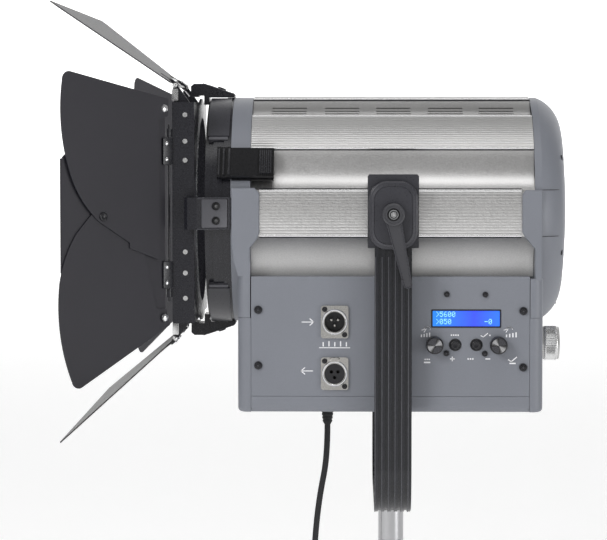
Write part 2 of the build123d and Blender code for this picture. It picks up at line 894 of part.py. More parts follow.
def leaf(which, root_half, tip_half, corner, root_cut):
    with BuildPart() as plate:
        with BuildSketch(leaf_plane(which, -leaf_t / 2)):
            with BuildLine():
                Polyline(
                    (5, -root_half + root_cut),
                    (5 + 0.7 * root_cut, -root_half),
                    (leaf_long, -tip_half),
                    (leaf_long, tip_half),
                    (5 + 0.7 * root_cut, root_half),
                    (5, root_half - root_cut),
                    close=True,
                )
            make_face()
        extrude(amount=leaf_t)
        tips = plate.edges().filter_by(lambda e: abs(e.length - leaf_t) < 0.01)
        ends = tips.sort_by(lambda e: (e.center() - leaf_plane(which).origin).length)[-2:]
        fillet(ends, corner)
        with BuildSketch(leaf_plane(which, -leaf_t / 2)):
            for spot in knuckle_spots[1:3]:
                with Locations((4, spot)):
                    Rectangle(8, 12)
                with Locations((13, spot)):
                    Rectangle(14, 22)
        extrude(amount=leaf_t)
        run = leaf_plane(which)
        for spot in knuckle_spots[1:3]:
            barrel = Plane(
                origin=run.from_local_coords((0, spot - 6, 0)), x_dir=run.x_dir, z_dir=run.y_dir
            )
            with BuildSketch(barrel):
                Circle(knuckle_r)
            extrude(amount=12)
            with BuildSketch(barrel):
                Circle(pin_r + 0.06)
            extrude(amount=12, mode=Mode.SUBTRACT)
    return plate.part


save(leaf("top", 105, 245, 4, 14), "top_leaf")
save(leaf("bottom", 105, 245, 4, 14), "bottom_leaf")
wing_gap = 0.4
wing_pivot = (8.0, 99.0)
lower_open = 15.0  # the lower wings stand this much further open than the upper ones
up_side = {"near": -1, "far": 1}  # which way local y points on these two leaves


def wing(which, hand, layer, swing):
    """Folding wing: a fan with a curved outer edge, turned about its pivot rivet by swing."""
    lift = leaf_t / 2 + wing_gap + layer * (leaf_t + wing_gap)
    up = hand * up_side[which]
    pivot = (wing_pivot[0], up * wing_pivot[1])
    with BuildSketch(mode=Mode.PRIVATE) as outline:
        with BuildLine():
            Line((3, up * 108), (116, up * 133))
            ThreePointArc((116, up * 133), (121.5, up * 131), (124, up * 125))
            ThreePointArc((124, up * 125), (125.5, up * 84), (113, up * 32))
            ThreePointArc((113, up * 32), (101, up * 12), (83, up * -6.5))
            Line((83, up * -6.5), (48.5, up * -26.7))
            Line((48.5, up * -26.7), (48.5, up * -32))
            Line((48.5, up * -32), (14, up * -44))
            Line((14, up * -44), (14, up * 88))
            Line((14, up * 88), (3, up * 92))
            Line((3, up * 92), (3, up * 108))
        make_face()
        with Locations(pivot):
            Circle(1.6, mode=Mode.SUBTRACT)
    turned = outline.sketch.rotate(Axis((*pivot, 0), (0, 0, 1)), up * swing)
    with BuildPart() as plate:
        with BuildSketch(leaf_plane(which, lift)):
            add(turned)
        extrude(amount=leaf_t)
    return plate.part


def wing_rivets(which):
    stack = 2 * leaf_t + 3 * wing_gap
    with BuildPart() as rivets:
        for hand in (1, -1):
            with BuildSketch(leaf_plane(which, leaf_t / 2)):
                with Locations((wing_pivot[0], hand * wing_pivot[1])):
                    Circle(1.52)
            extrude(amount=stack)
            with BuildSketch(leaf_plane(which, leaf_t / 2 + stack)):
                with Locations((wing_pivot[0], hand * wing_pivot[1])):
                    Circle(3.6)
            extrude(amount=1.3)
    return rivets.part


for which in ("near", "far"):
    pieces = [leaf(which, 104, 54.5, 9, 1), wing_rivets(which)]
    save(Compound(children=pieces), which + "_leaf")
    save(wing(which, 1, 1, 0), which + "_upper_wing")
    save(wing(which, -1, 0, lower_open), which + "_lower_wing")

# ---- yoke: ribbed flat bar bent to a U ----
arm_y = yoke_out - yoke_t / 2 - 0.6
arm_top = 24.0
with BuildPart() as yoke_bar:
    with BuildLine(Plane(origin=(0, 0, axis_z), x_dir=(0, 1, 0), z_dir=(1, 0, 0))) as bend:
        FilletPolyline(
            (-arm_y, arm_top),
            (-arm_y, yoke_low + yoke_t / 2),
            (arm_y, yoke_low + yoke_t / 2),
            (arm_y, arm_top),
            radius=yoke_bend,
        )
    with BuildSketch(Plane(origin=(0, -arm_y, axis_z + arm_top), x_dir=(1, 0, 0), z_dir=(0, 0, -1))):
        Rectangle(yoke_wide, yoke_t - 1.2)
        with Locations((0, (yoke_t - 1.2) / 2)):
            with GridLocations(6.2, 0, 6, 1):
                Rectangle(3.4, 2.4)
    sweep()
    with BuildSketch(side(yoke_out + 1)):
        Circle(pivot_r + 0.1)
    extrude(amount=2 * yoke_out + 2, mode=Mode.SUBTRACT)
    with BuildSketch(Plane.XY.offset(axis_z + yoke_low - 2)):
        Circle(4.1)
    extrude(amount=12, mode=Mode.SUBTRACT)
save(yoke_bar.part, "yoke_bar")


def pivot_boss(hand):
    with BuildPart() as boss:
        with BuildSketch(side(hand * (yoke_out + 0.1))):
            with Locations((0, -1)):
                RectangleRounded(46, 64, 17)
            Circle(pivot_r + 0.1, mode=Mode.SUBTRACT)
        extrude(amount=-hand * 4.5)
        rim = boss.faces().sort_by(Axis.Y)[0 if hand < 0 else -1].outer_wire().edges()
        fillet(rim, 2.2)
    return boss.part


save(Compound(children=[pivot_boss(-1), pivot_boss(1)]), "pivot_bosses")

lever_in = yoke_out + 5.0
lever_t = 8.0
with BuildPart() as pivot_bolts:
    for hand in (-1, 1):
        with BuildSketch(side(hand * 114.0)):
            Circle(pivot_r)
        extrude(amount=-hand * (lever_in + 3.4 - 114.0))
        with BuildSketch(side(hand * (lever_in + lever_t - 2.7))):
            Circle(4.3)
        extrude(amount=-hand * 3.0)
        with BuildSketch(side(hand * (lever_in + 3.4))):
            Circle(4.3)
        extrude(amount=-hand * (lever_t - 6.1))

with BuildPart() as tilt_lever:
    with BuildSketch(side(-lever_in)):
        Circle(10.5)
    extrude(amount=lever_t)
    with BuildSketch(side(-lever_in - 1.5)):
        with BuildLine():
            Polyline((-6.5, -4), (7.5, -4), (17.5, -67), (9.5, -68), close=True)
        make_face()
    extrude(amount=lever_t - 3)
    with BuildSketch(side(-lever_in + 1)):
        Circle(pivot_r + 0.7)
    extrude(amount=lever_t + 2, mode=Mode.SUBTRACT)
save(tilt_lever.part, "tilt_lever")

# ---- stand socket under the yoke ----
socket_top = axis_z + yoke_low - 0.7
with BuildPart() as stand_socket:
    with BuildSketch(Plane.XY):
        Circle(socket_r)
    extrude(amount=socket_top)
    with BuildSketch(Plane.XY):
        Circle(bore_r)
    extrude(amount=bore_deep, mode=Mode.SUBTRACT)
    with BuildSketch(Plane.XY.offset(bore_deep - 1)):
        Circle(4.1)
    extrude(amount=30, mode=Mode.SUBTRACT)
    lips = stand_socket.edges().filter_by(GeomType.CIRCLE).group_by(Axis.Z)[0]
    chamfer(lips.sort_by(SortBy.RADIUS)[-1], 1.2)
    with BuildSketch(Plane(origin=(0, 0, 28), x_dir=(1, 0, 0), z_dir=(0, 1, 0))):
        Circle(4.08)
    extrude(amount=20, mode=Mode.SUBTRACT)
save(stand_socket.part, "stand_socket")

with BuildPart() as socket_bolt:
    with BuildSketch(Plane.XY.offset(bore_deep + 0.5)):
        Circle(4.0)
    extrude(amount=axis_z + yoke_low + yoke_t + 0.4 - bore_deep - 0.5)
    with BuildSketch(Plane.XY.offset(axis_z + yoke_low + yoke_t - 0.5)):
        RegularPolygon(7.5, 6)
    extrude(amount=5.5)
save(Compound(children=[pivot_bolts.part, socket_bolt.part]), "yoke_bolts")

with BuildPart() as socket_lock_knob:
    with BuildSketch(Plane(origin=(0, bore_r + 0.6, 28), x_dir=(1, 0, 0), z_dir=(0, 1, 0))):
        Circle(4.0)
    extrude(amount=14)
    with BuildSketch(Plane(origin=(0, socket_r + 4, 28), x_dir=(1, 0, 0), z_dir=(0, 1, 0))):
        Circle(11)
        with PolarLocations(12.5, 6):
            Circle(3.2, mode=Mode.SUBTRACT)
    extrude(amount=14)
save(socket_lock_knob.part, "socket_lock_knob")

# ---- cord: gland, hanging run, tied coil, tail and plug ----
gland_low = case_low - 24.0
with BuildPart() as cable_gland:
    with BuildSketch(level(case_low)):
        with Locations((gland_x, 0)):
            Circle(6.0)
    extrude(amount=6)
    with BuildSketch(level(case_low)):
        with Locations((gland_x, 0)):
            Circle(8.5)
    extrude(amount=-4)
    with BuildSketch(level(case_low - 4)) as wide_end:
        with Locations((gland_x, 0)):
            Circle(6.0)
    with BuildSketch(level(gland_low)) as slim_end:
        with Locations((gland_x, 0)):
            Circle(4.0)
    loft()
save(cable_gland.part, "cable_gland")

coil_reach = coil_turn_r + coil_half
enter_x = coil_x + coil_turn_r
route = [
    (gland_x, 0.0, axis_z + gland_low),
    (gland_x, 0.0, 98.0),
    (-71.0, 1.0, 58.0),
    (-75.5, 0.5, 16.0),
    (enter_x - 0.4, 0.0, coil_z + 27.0),
]


def bend_radii(points):
    """Largest arc for each corner: 0.45 of the shorter run over the tangent of half the turn."""
    radii = []
    for before, here, after in zip(points, points[1:], points[2:]):
        first = Vector(*here) - Vector(*before)
        second = Vector(*after) - Vector(*here)
        turn = radians(first.get_angle(second))
        radii.append(0.45 * min(first.length, second.length) / tan(turn / 2))
    return radii


def cord_tube(points):
    radii = bend_radii(points)
    print("bend radii", [round(r, 1) for r in radii])
    with BuildPart() as tube:
        with BuildLine() as run:
            FilletPolyline(*points, radius=radii)
        start = Plane(origin=points[0], z_dir=Vector(*points[1]) - Vector(*points[0]))
        with BuildSketch(start):
            Circle(cord_d / 2)
        sweep(path=run.line)
    length = sum(edge.length for edge in run.line.edges())
    ratio = tube.part.volume / (length * pi * cord_d**2 / 4)
    print("length", round(length, 1), "volume ratio", round(ratio, 4))
    return tube.part



with BuildPart() as cord_coil:
    with BuildSketch(Plane(origin=(coil_x, coil_half, coil_z), x_dir=(1, 0, 0), z_dir=(0, -1, 0))):
        Circle(coil_reach)
        Circle(coil_turn_r - coil_half, mode=Mode.SUBTRACT)
    extrude(amount=2 * coil_half)
    fillet(cord_coil.edges().filter_by(GeomType.CIRCLE), 3.0)
save(cord_coil.part, "cord_coil")

leave_x = coil_x + coil_turn_r
tail = [
    (leave_x, 0.0, coil_z - 27.0),
    (leave_x - 1.0, 0.0, coil_z - 44.0),
    (leave_x - 5.0, 1.0, coil_z - 61.0),
]
save(Compound(children=[cord_tube(route), cord_tube(tail)]), "cord_tube")

plug_down = (Vector(*tail[2]) - Vector(*tail[1])).normalized()
plug_plane = Plane(origin=tail[2], x_dir=(0, 1, 0), z_dir=plug_down)
with BuildPart() as mains_plug:
    with BuildSketch(plug_plane):
        Circle(5.0)
    with BuildSketch(plug_plane.offset(14)):
        Circle(9.0)
    loft()
    with BuildSketch(plug_plane.offset(14)):
        Circle(17.5)
    extrude(amount=20)
    with BuildSketch(plug_plane.offset(34)):
        with Locations((-9.5, 0), (9.5, 0)):
            Circle(2.4)
    extrude(amount=19)
save(mains_plug.part, "mains_plug")
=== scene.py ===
import math

import bmesh
import bpy
from mathutils import Matrix, Vector


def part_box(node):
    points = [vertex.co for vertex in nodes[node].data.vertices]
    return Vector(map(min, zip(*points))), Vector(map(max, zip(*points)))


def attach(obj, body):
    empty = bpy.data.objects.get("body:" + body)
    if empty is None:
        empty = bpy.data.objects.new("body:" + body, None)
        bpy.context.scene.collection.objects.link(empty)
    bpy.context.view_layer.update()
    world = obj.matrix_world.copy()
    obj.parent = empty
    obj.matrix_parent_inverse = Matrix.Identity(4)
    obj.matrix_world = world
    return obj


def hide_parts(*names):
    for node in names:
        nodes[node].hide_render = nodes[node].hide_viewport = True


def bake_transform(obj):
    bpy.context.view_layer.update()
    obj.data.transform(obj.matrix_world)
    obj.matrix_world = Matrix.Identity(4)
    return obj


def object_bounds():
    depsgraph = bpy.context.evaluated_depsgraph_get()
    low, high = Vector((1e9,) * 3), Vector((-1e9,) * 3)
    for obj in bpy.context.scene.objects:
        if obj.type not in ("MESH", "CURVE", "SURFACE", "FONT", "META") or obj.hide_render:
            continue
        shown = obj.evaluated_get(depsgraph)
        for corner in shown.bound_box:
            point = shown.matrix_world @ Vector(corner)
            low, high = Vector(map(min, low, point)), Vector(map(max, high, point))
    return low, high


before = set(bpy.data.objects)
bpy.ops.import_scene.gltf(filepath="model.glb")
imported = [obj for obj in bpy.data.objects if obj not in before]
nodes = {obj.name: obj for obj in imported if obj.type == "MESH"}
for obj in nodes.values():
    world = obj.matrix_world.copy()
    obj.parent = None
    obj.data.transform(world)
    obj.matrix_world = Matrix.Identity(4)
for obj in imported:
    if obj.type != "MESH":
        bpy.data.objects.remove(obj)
cad_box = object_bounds()

# ---- places, metres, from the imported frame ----
mm = 0.001
lens_low, lens_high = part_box("fresnel_lens")
axis_z = (lens_low[2] + lens_high[2]) / 2  # optical and tilt axis
panel_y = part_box("side_panel_near")[0][1]  # outer face of the control panel
window_low, window_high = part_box("display_window")
in_low, in_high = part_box("data_in_pins")
socket_x = (in_low[0] + in_high[0]) / 2
coil_low, coil_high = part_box("cord_coil")
knob_centres = {}
for side in ("left", "right"):
    low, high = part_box("encoder_knob_" + side)
    knob_centres[side] = ((low[0] + high[0]) / 2, (low[2] + high[2]) / 2)


def at(x, y, z):
    """A point given in millimetres from the optical axis at the yoke's centre."""
    return Vector((x * mm, y * mm, axis_z + z * mm))


# ---- camera ----
def make_camera():
    """Long lens, well back from the control side, aimed a little ahead of the yoke and below the axis."""
    camera = bpy.data.objects.new("camera", bpy.data.cameras.new("camera"))
    bpy.context.scene.collection.objects.link(camera)
    camera.location = at(-37.9, -2554, 88)
    aim = at(-86.8, 0, -60.2) - camera.location
    camera.rotation_euler = aim.to_track_quat("-Z", "Y").to_euler()
    camera.data.sensor_width = 36
    camera.data.lens = 153.3
    bpy.context.scene.camera = camera


# ---- materials ----
def link(tree, a, b):
    tree.links.new(a, b)


def material(name, colour, metal=0.0, rough=0.5, vary=0.06, grain=300, stretch=(1, 1, 1),
             bump=0.02, rough_vary=0.08, specks=0.0, coat=0.0, spec=0.5):
    """Noise-driven colour, roughness and bump over a plain base; stretch draws the grain out."""
    made = bpy.data.materials.new(name)
    made.use_nodes = True
    tree = made.node_tree
    shader = tree.nodes["Principled BSDF"]
    shader.inputs["Metallic"].default_value = metal
    shader.inputs["Specular IOR Level"].default_value = spec
    shader.inputs["Coat Weight"].default_value = coat
    place = tree.nodes.new("ShaderNodeTexCoord")
    scale = tree.nodes.new("ShaderNodeMapping")
    scale.inputs["Scale"].default_value = stretch
    link(tree, place.outputs["Object"], scale.inputs["Vector"])
    fine = tree.nodes.new("ShaderNodeTexNoise")
    fine.inputs["Scale"].default_value = grain
    fine.inputs["Detail"].default_value = 4
    link(tree, scale.outputs["Vector"], fine.inputs["Vector"])
    broad = tree.nodes.new("ShaderNodeTexNoise")
    broad.inputs["Scale"].default_value = 9
    broad.inputs["Detail"].default_value = 3
    link(tree, place.outputs["Object"], broad.inputs["Vector"])
    both = tree.nodes.new("ShaderNodeMath")
    both.operation = "ADD"
    link(tree, fine.outputs["Fac"], both.inputs[0])
    link(tree, broad.outputs["Fac"], both.inputs[1])
    tint = tree.nodes.new("ShaderNodeMapRange")
    tint.inputs["From Min"].default_value = 0.7
    tint.inputs["From Max"].default_value = 1.3
    link(tree, both.outputs[0], tint.inputs["Value"])
    shade = tree.nodes.new("ShaderNodeMix")
    shade.data_type = "RGBA"
    low = [c * (1 - vary) for c in colour]
    high = [min(1, c * (1 + vary)) for c in colour]
    shade.inputs["A"].default_value = (*low, 1)
    shade.inputs["B"].default_value = (*high, 1)
    link(tree, tint.outputs["Result"], shade.inputs["Factor"])
    colour_out = shade.outputs["Result"]
    if specks:
        dust = tree.nodes.new("ShaderNodeTexVoronoi")
        dust.inputs["Scale"].default_value = 900
        link(tree, place.outputs["Object"], dust.inputs["Vector"])
        limit = tree.nodes.new("ShaderNodeMath")
        limit.operation = "LESS_THAN"
        limit.inputs[1].default_value = 0.16
        link(tree, dust.outputs["Distance"], limit.inputs[0])
        amount = tree.nodes.new("ShaderNodeMath")
        amount.operation = "MULTIPLY"
        amount.inputs[1].default_value = specks
        link(tree, limit.outputs[0], amount.inputs[0])
        flecked = tree.nodes.new("ShaderNodeMix")
        flecked.data_type = "RGBA"
        flecked.inputs["B"].default_value = (*[min(1, c * 2 + 0.05) for c in colour], 1)
        link(tree, amount.outputs[0], flecked.inputs["Factor"])
        link(tree, colour_out, flecked.inputs["A"])
        colour_out = flecked.outputs["Result"]
    link(tree, colour_out, shader.inputs["Base Color"])
    dull = tree.nodes.new("ShaderNodeMapRange")
    dull.inputs["From Min"].default_value = 0.3
    dull.inputs["From Max"].default_value = 0.7
    dull.inputs["To Min"].default_value = max(0.02, rough - rough_vary)
    dull.inputs["To Max"].default_value = min(1, rough + rough_vary)
    link(tree, fine.outputs["Fac"], dull.inputs["Value"])
    link(tree, dull.outputs["Result"], shader.inputs["Roughness"])
    relief = tree.nodes.new("ShaderNodeBump")
    relief.inputs["Strength"].default_value = 0.6
    relief.inputs["Distance"].default_value = bump * mm
    link(tree, fine.outputs["Fac"], relief.inputs["Height"])
    link(tree, relief.outputs["Normal"], shader.inputs["Normal"])
    return made


def glow(name, colour, strength, rim=None):
    """A lit surface whose colour drifts slowly over it."""
    made = material(name, colour, rough=0.15, vary=0.1, bump=0.0)
    tree = made.node_tree
    shader = tree.nodes["Principled BSDF"]
    place = tree.nodes.new("ShaderNodeTexCoord")
    parts = tree.nodes.new("ShaderNodeSeparateXYZ")
    link(tree, place.outputs["Generated"], parts.inputs["Vector"])
    shift = tree.nodes.new("ShaderNodeMath")
    shift.operation = "SUBTRACT"
    shift.inputs[1].default_value = 0.62
    link(tree, parts.outputs["X"], shift.inputs[0])
    spread = tree.nodes.new("ShaderNodeMath")
    spread.operation = "ABSOLUTE"
    link(tree, shift.outputs[0], spread.inputs[0])
    drift = tree.nodes.new("ShaderNodeMapRange")
    drift.inputs["From Min"].default_value = 0.0
    drift.inputs["From Max"].default_value = 0.55
    link(tree, spread.outputs[0], drift.inputs["Value"])
    shade = tree.nodes.new("ShaderNodeMix")
    shade.data_type = "RGBA"
    shade.inputs["A"].default_value = (*colour, 1)
    shade.inputs["B"].default_value = (*(rim or colour), 1)
    link(tree, drift.outputs["Result"], shade.inputs["Factor"])
    link(tree, shade.outputs["Result"], shader.inputs["Emission Color"])
    shader.inputs["Emission Strength"].default_value = strength
    return made


def glass(name, colour, rough):
    """Clear moulded glass."""
    made = material(name, colour, rough=rough, vary=0.03, bump=0.0, rough_vary=0.02)
    shader = made.node_tree.nodes["Principled BSDF"]
    shader.inputs["Transmission Weight"].default_value = 0.92
    shader.inputs["IOR"].default_value = 1.47
    return made


grey_paint = material("grey_powder_coat", (0.185, 0.195, 0.222), rough=0.46, vary=0.05, grain=1500,
                      bump=0.035, specks=0.12)
silver = material("brushed_silver", (0.58, 0.575, 0.57), metal=1, rough=0.36, vary=0.13, grain=1300,
                  stretch=(0.55, 1, 1), bump=0.035)
silver_rib = material("ribbed_silver", (0.62, 0.615, 0.61), metal=1, rough=0.38, vary=0.08, grain=2400,
                      stretch=(0.5, 1, 1), bump=0.02)
# lighter silver for the beads along the land borders: a painted highlight
silver_painted_highlight = material("painted_highlight_silver", (0.86, 0.86, 0.86), metal=1, rough=0.22, vary=0.03, grain=900,
                       bump=0.01)
black_metal = material("black_satin_paint", (0.011, 0.011, 0.015), rough=0.29, vary=0.12, grain=900,
                       bump=0.03, spec=0.45)
# lighter black for the lever's edges, the ear borders and the pivot rims: a painted highlight
painted_highlight_black = material("black_painted_edge_highlight", (0.050, 0.050, 0.058), metal=0.4, rough=0.3, vary=0.12, grain=1500,
                      bump=0.02, spec=0.6)
# lighter black for the ear plates, the ring ribs and the yoke's rib beads: painted light on faces that catch
# the lamps
painted_lit_black = material("black_painted_lit_face", (0.075, 0.075, 0.085), metal=0.3, rough=0.42, vary=0.12,
                       grain=1100, bump=0.03, spec=0.5)
lever_black = material("black_moulded_lever", (0.040, 0.040, 0.046), rough=0.36, vary=0.12, grain=1500,
                       bump=0.03, spec=0.6)
boss_black = material("black_cast_paint", (0.030, 0.030, 0.037), rough=0.34, vary=0.12, grain=900, bump=0.03)
latch_black = material("black_gloss_moulded", (0.003, 0.003, 0.004), rough=0.30, vary=0.12, grain=1800,
                       bump=0.02, spec=0.35)
yoke_black = material("black_anodised", (0.010, 0.0105, 0.014), rough=0.26, vary=0.10, grain=1200,
                      stretch=(1, 1, 0.06), bump=0.03, spec=0.5)
leaf_black = material("black_sheet_paint", (0.019, 0.018, 0.024), rough=0.50, vary=0.10, grain=1400,
                      bump=0.035, specks=0.10, spec=0.4)
# lighter copy of the leaf paint for the top and bottom leaves: a painted sheen where light grazes them
leaf_lit = material("black_sheet_painted_sheen", (0.045, 0.044, 0.045), rough=0.52, vary=0.10, grain=1400,
                    bump=0.02, spec=0.5)
black_plastic = material("black_moulded", (0.009, 0.009, 0.011), rough=0.34, vary=0.10, grain=2200, bump=0.02)
soft_black = material("black_rubber", (0.020, 0.020, 0.022), rough=0.62, vary=0.12, grain=1500, bump=0.05,
                      spec=0.35)
chrome = material("chrome_plate", (0.80, 0.80, 0.81), metal=1, rough=0.10, vary=0.03, grain=400, bump=0.004,
                  rough_vary=0.04)
satin_chrome = material("satin_chrome", (0.42, 0.42, 0.43), metal=1, rough=0.2, vary=0.05, grain=900,
                        bump=0.01, rough_vary=0.05)
steel = material("bright_steel", (0.66, 0.66, 0.66), metal=1, rough=0.26, vary=0.06, grain=1200, bump=0.02)
nickel = material("satin_nickel", (0.46, 0.45, 0.43), metal=1, rough=0.26, vary=0.16, grain=1500, bump=0.015)
# blackened steel for screws and pins, also used for the dark lines beside the land borders, which are painted
# shade
dark_screw_and_shade_line = material("blackened_steel_and_painted_shade", (0.014, 0.014, 0.017), metal=0.2, rough=0.28, vary=0.15, grain=1800,
                      bump=0.03)
spun = material("spun_metal", (0.10, 0.10, 0.11), metal=1, rough=0.24, vary=0.10, grain=1500, bump=0.03)
# darker and lighter copies of the spun metal, given out by angle on the knob faces and used on the ear
# screws: painted sheen and glints
spun_painted_sheen = [material(f"spun_metal_{k}", (tone, tone, tone * 1.02), metal=1, rough=0.3, vary=0.06,
                       grain=1500, bump=0.02) for k, tone in enumerate((0.05, 0.13, 0.28, 0.5))]
brass = material("machined_brass", (0.72, 0.55, 0.25), metal=1, rough=0.28, vary=0.06, grain=900, bump=0.02)
board_green = material("circuit_green", (0.02, 0.13, 0.06), rough=0.35, vary=0.2, grain=700, bump=0.02)
zinc = material("zinc_plate", (0.30, 0.305, 0.31), metal=1, rough=0.4, vary=0.12, grain=160, bump=0.02)
phosphor = material("led_phosphor", (0.85, 0.70, 0.22), rough=0.5, vary=0.05, grain=1200, bump=0.02)
white_ink = material("white_print", (0.82, 0.82, 0.84), rough=0.5, vary=0.03, grain=1800, bump=0.01)
lens_glass = glass("clear_lens_glass", (0.93, 0.97, 0.97), 0.04)
window_glow = glow("display_backlight", (0.03, 0.06, 0.80), 0.75, (0.0, 0.30, 0.75))
pixel_glow = glow("display_characters", (0.30, 0.75, 1.0), 0.75)


def paint_nodes():
    """Every carried-over CAD node gets its finish."""
    finishes = {
        grey_paint: "front_bezel rear_cap front_end_panel rear_end_panel side_panel_near "
                    "side_panel_far bottom_tray",
        silver: "body_extrusion focus_knob led_carriage heat_sink reflector",
        yoke_black: "yoke_bar",
        boss_black: "pivot_bosses tilt_blocks",
        black_metal: "accessory_ring ring_ears barndoor_frame rod_holders "
                     "lens_retaining_ring",
        lever_black: "tilt_lever",
        latch_black: "latch_slider latch_guide",
        leaf_black: "near_leaf far_leaf near_upper_wing near_lower_wing far_upper_wing far_lower_wing",
        # top and bottom leaves take the lighter copy: painted sheen
        leaf_lit: "top_leaf bottom_leaf",
        black_plastic: "socket_lock_knob data_socket_inserts "
                       "encoder_knob_left encoder_knob_right mode_button confirm_button "
                       "fan_frame fan_rotor display_module",
        soft_black: "cable_gland mains_plug cord_tube cord_coil",
        satin_chrome: "stand_socket",
        steel: "yoke_bolts guide_rods lead_screw ring_screws_and_rivets",
        nickel: "data_socket_shells data_in_pins",
        dark_screw_and_shade_line: "head_screws hinge_pins",
        window_glow: "display_window",
        board_green: "control_board",
        zinc: "power_supply",
        phosphor: "led_module",
        brass: "drive_nut",
        lens_glass: "fresnel_lens",
    }
    for finish, names in finishes.items():
        for name in names.split():
            for place in nodes[name].material_slots:
                place.material = finish


# ---- mesh helpers ----
def piece(name, mesh_maker, finish, body, smooth=35):
    """Turns a bmesh-filling function's result into an object that rides on a body."""
    mesh = bpy.data.meshes.new(name)
    shape = bmesh.new()
    mesh_maker(shape)
    bmesh.ops.recalc_face_normals(shape, faces=shape.faces)
    shape.to_mesh(mesh)
    shape.free()
    mesh.materials.append(finish)
    made = bpy.data.objects.new(name, mesh)
    bpy.context.scene.collection.objects.link(made)
    mesh.shade_smooth()
    mesh.set_sharp_from_angle(angle=math.radians(smooth))
    if body:
        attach(made, body)
    return made


def basis(out, along):
    """Rotation whose x is along, z is out."""
    z = Vector(out).normalized()
    x = Vector(along)
    x = (x - z * x.dot(z)).normalized()
    y = z.cross(x)
    return Matrix((x, y, z)).transposed()


def ring_of(shape, outline, height, centre, turn):
    """Vertices of an outline, in millimetres, at a height over a placed plane."""
    return [shape.verts.new(Vector(centre) + turn @ Vector((x * mm, y * mm, height * mm)))
            for x, y in outline]


def join(shape, a, b):
    """Faces between two rings of equal count."""
    for i in range(len(a)):
        j = (i + 1) % len(a)
        shape.faces.new((a[i], a[j], b[j], b[i]))


def prism(shape, outline, centre, turn, low, high, bevel=0.0, segments=2):
    """Extrudes an outline between two heights, with its upper border bevelled."""
    base, top = [ring_of(shape, outline, height, centre, turn) for height in (low, high)]
    shape.faces.new(base[::-1])
    lid = shape.faces.new(top)
    join(shape, base, top)
    if bevel:
        bmesh.ops.bevel(shape, geom=list(lid.edges), offset=bevel * mm, segments=segments, affect="EDGES",
                        profile=0.6)


def band(shape, sections, centre, turn):
    """Joins outlines, each at its own height, into a closed frame with an open middle."""
    rings = [ring_of(shape, outline, height, centre, turn) for outline, height in sections]
    for a, b in zip(rings, rings[1:] + rings[:1]):
        join(shape, a, b)


def round_band(shape, profile, centre, turn, count=48):
    """Closed ring from (radius, height) pairs."""
    band(shape, [(circle(radius, count), height) for radius, height in profile], centre, turn)


def lathe(shape, profile, centre, turn, count=64, wobble=None):
    """Revolves (radius, height) pairs, in millimetres, about the placed plane's normal."""
    rings = []
    for radius, height in profile:
        ring = []
        for i in range(count):
            angle = 2 * math.pi * i / count
            here = radius + (wobble(angle, radius, height) if wobble else 0)
            spot = Vector((here * math.cos(angle) * mm, here * math.sin(angle) * mm, height * mm))
            ring.append(shape.verts.new(Vector(centre) + turn @ spot))
        rings.append(ring)
    for a, b in zip(rings, rings[1:]):
        join(shape, a, b)
    shape.faces.new(rings[0][::-1])
    shape.faces.new(rings[-1])


def rounded(wide, high, radius, count=6, x=0.0, y=0.0):
    """Outline of a rounded rectangle."""
    points = []
    for cx, cy, start in ((1, 1, 0), (-1, 1, 90), (-1, -1, 180), (1, -1, 270)):
        for i in range(count + 1):
            angle = math.radians(start + 90 * i / count)
            points.append((x + cx * (wide / 2 - radius) + radius * math.cos(angle),
                           y + cy * (high / 2 - radius) + radius * math.sin(angle)))
    return points


def circle(radius, count=24, x=0.0, y=0.0):
    """Outline of a circle."""
    return [(x + radius * math.cos(2 * math.pi * i / count), y + radius * math.sin(2 * math.pi * i / count))
            for i in range(count)]


# the control side: local x is +X, local y is up, local z points out at the viewer
side_turn = basis((0, -1, 0), (1, 0, 0))
side_origin = Vector((0, panel_y, axis_z))

# ---- cord: down from the gland, seven turns of a tied coil, a short tail and the plug ----
cord_d = 6 * mm
turn_r = 36.5
cell_gap = 6.4  # distance between neighbouring turns
coil_turns = 7
turn_points = 16
coil_centre = Vector([(a + b) / 2 for a, b in zip(coil_low, coil_high)])
coil_hold = 0.72  # share of a turn before the strand steps on to its next place


def smooth_step(t):
    """Eases from 0 to 1."""
    t = min(1, max(0, t))
    return t * t * (3 - 2 * t)


def coil_points():
    """Turns go round six places about a seventh, all stepping on together at the rear of the coil."""
    points = []
    for step in range(coil_turns * turn_points):
        turn, part = divmod(step / turn_points, 1)
        move = smooth_step((part - coil_hold) / (1 - coil_hold))
        if turn < 5:
            place = math.radians(60 * (turn + move))
            reach = cell_gap
        elif turn < 6:
            place = math.radians(60 * 5)
            reach = cell_gap * (1 - move)
        else:
            place, reach = 0.0, 0.0
        radius = (turn_r - reach * math.sin(place)) * mm
        depth = reach * math.cos(place) * mm
        angle = -2 * math.pi * (step + 0.5) / turn_points
        points.append((coil_centre[0] + radius * math.cos(angle), depth,
                       coil_centre[2] + radius * math.sin(angle)))
    return points


route = [
    (-0.063, 0.0, 0.131),
    (-0.063, 0.0, 0.098),
    (-0.071, 0.001, 0.058),
    (-0.0755, 0.0015, 0.016),
    (-0.0762, 0.005, -0.018),
]
tail = [
    (-0.076, 0.001, -0.060),
    (-0.076, 0.0, -0.079),
    (-0.077, 0.0, -0.096),
    (-0.081, 0.001, -0.113),
]


def spline_points(points):
    """Points of the smooth line that has the route as its control points."""
    curve = bpy.data.curves.new("route", "CURVE")
    curve.dimensions = "3D"
    curve.resolution_u = 8
    line = curve.splines.new("NURBS")
    line.points.add(len(points) - 1)
    for spot, place in zip(line.points, points):
        spot.co = (*place, 1)
    line.order_u = 3
    line.use_endpoint_u = True
    holder = bpy.data.objects.new("route", curve)
    bpy.context.scene.collection.objects.link(holder)
    mesh = bpy.data.meshes.new_from_object(holder)
    places = [v.co.copy() for v in mesh.vertices]
    bpy.data.objects.remove(holder)
    bpy.data.meshes.remove(mesh)
    return places


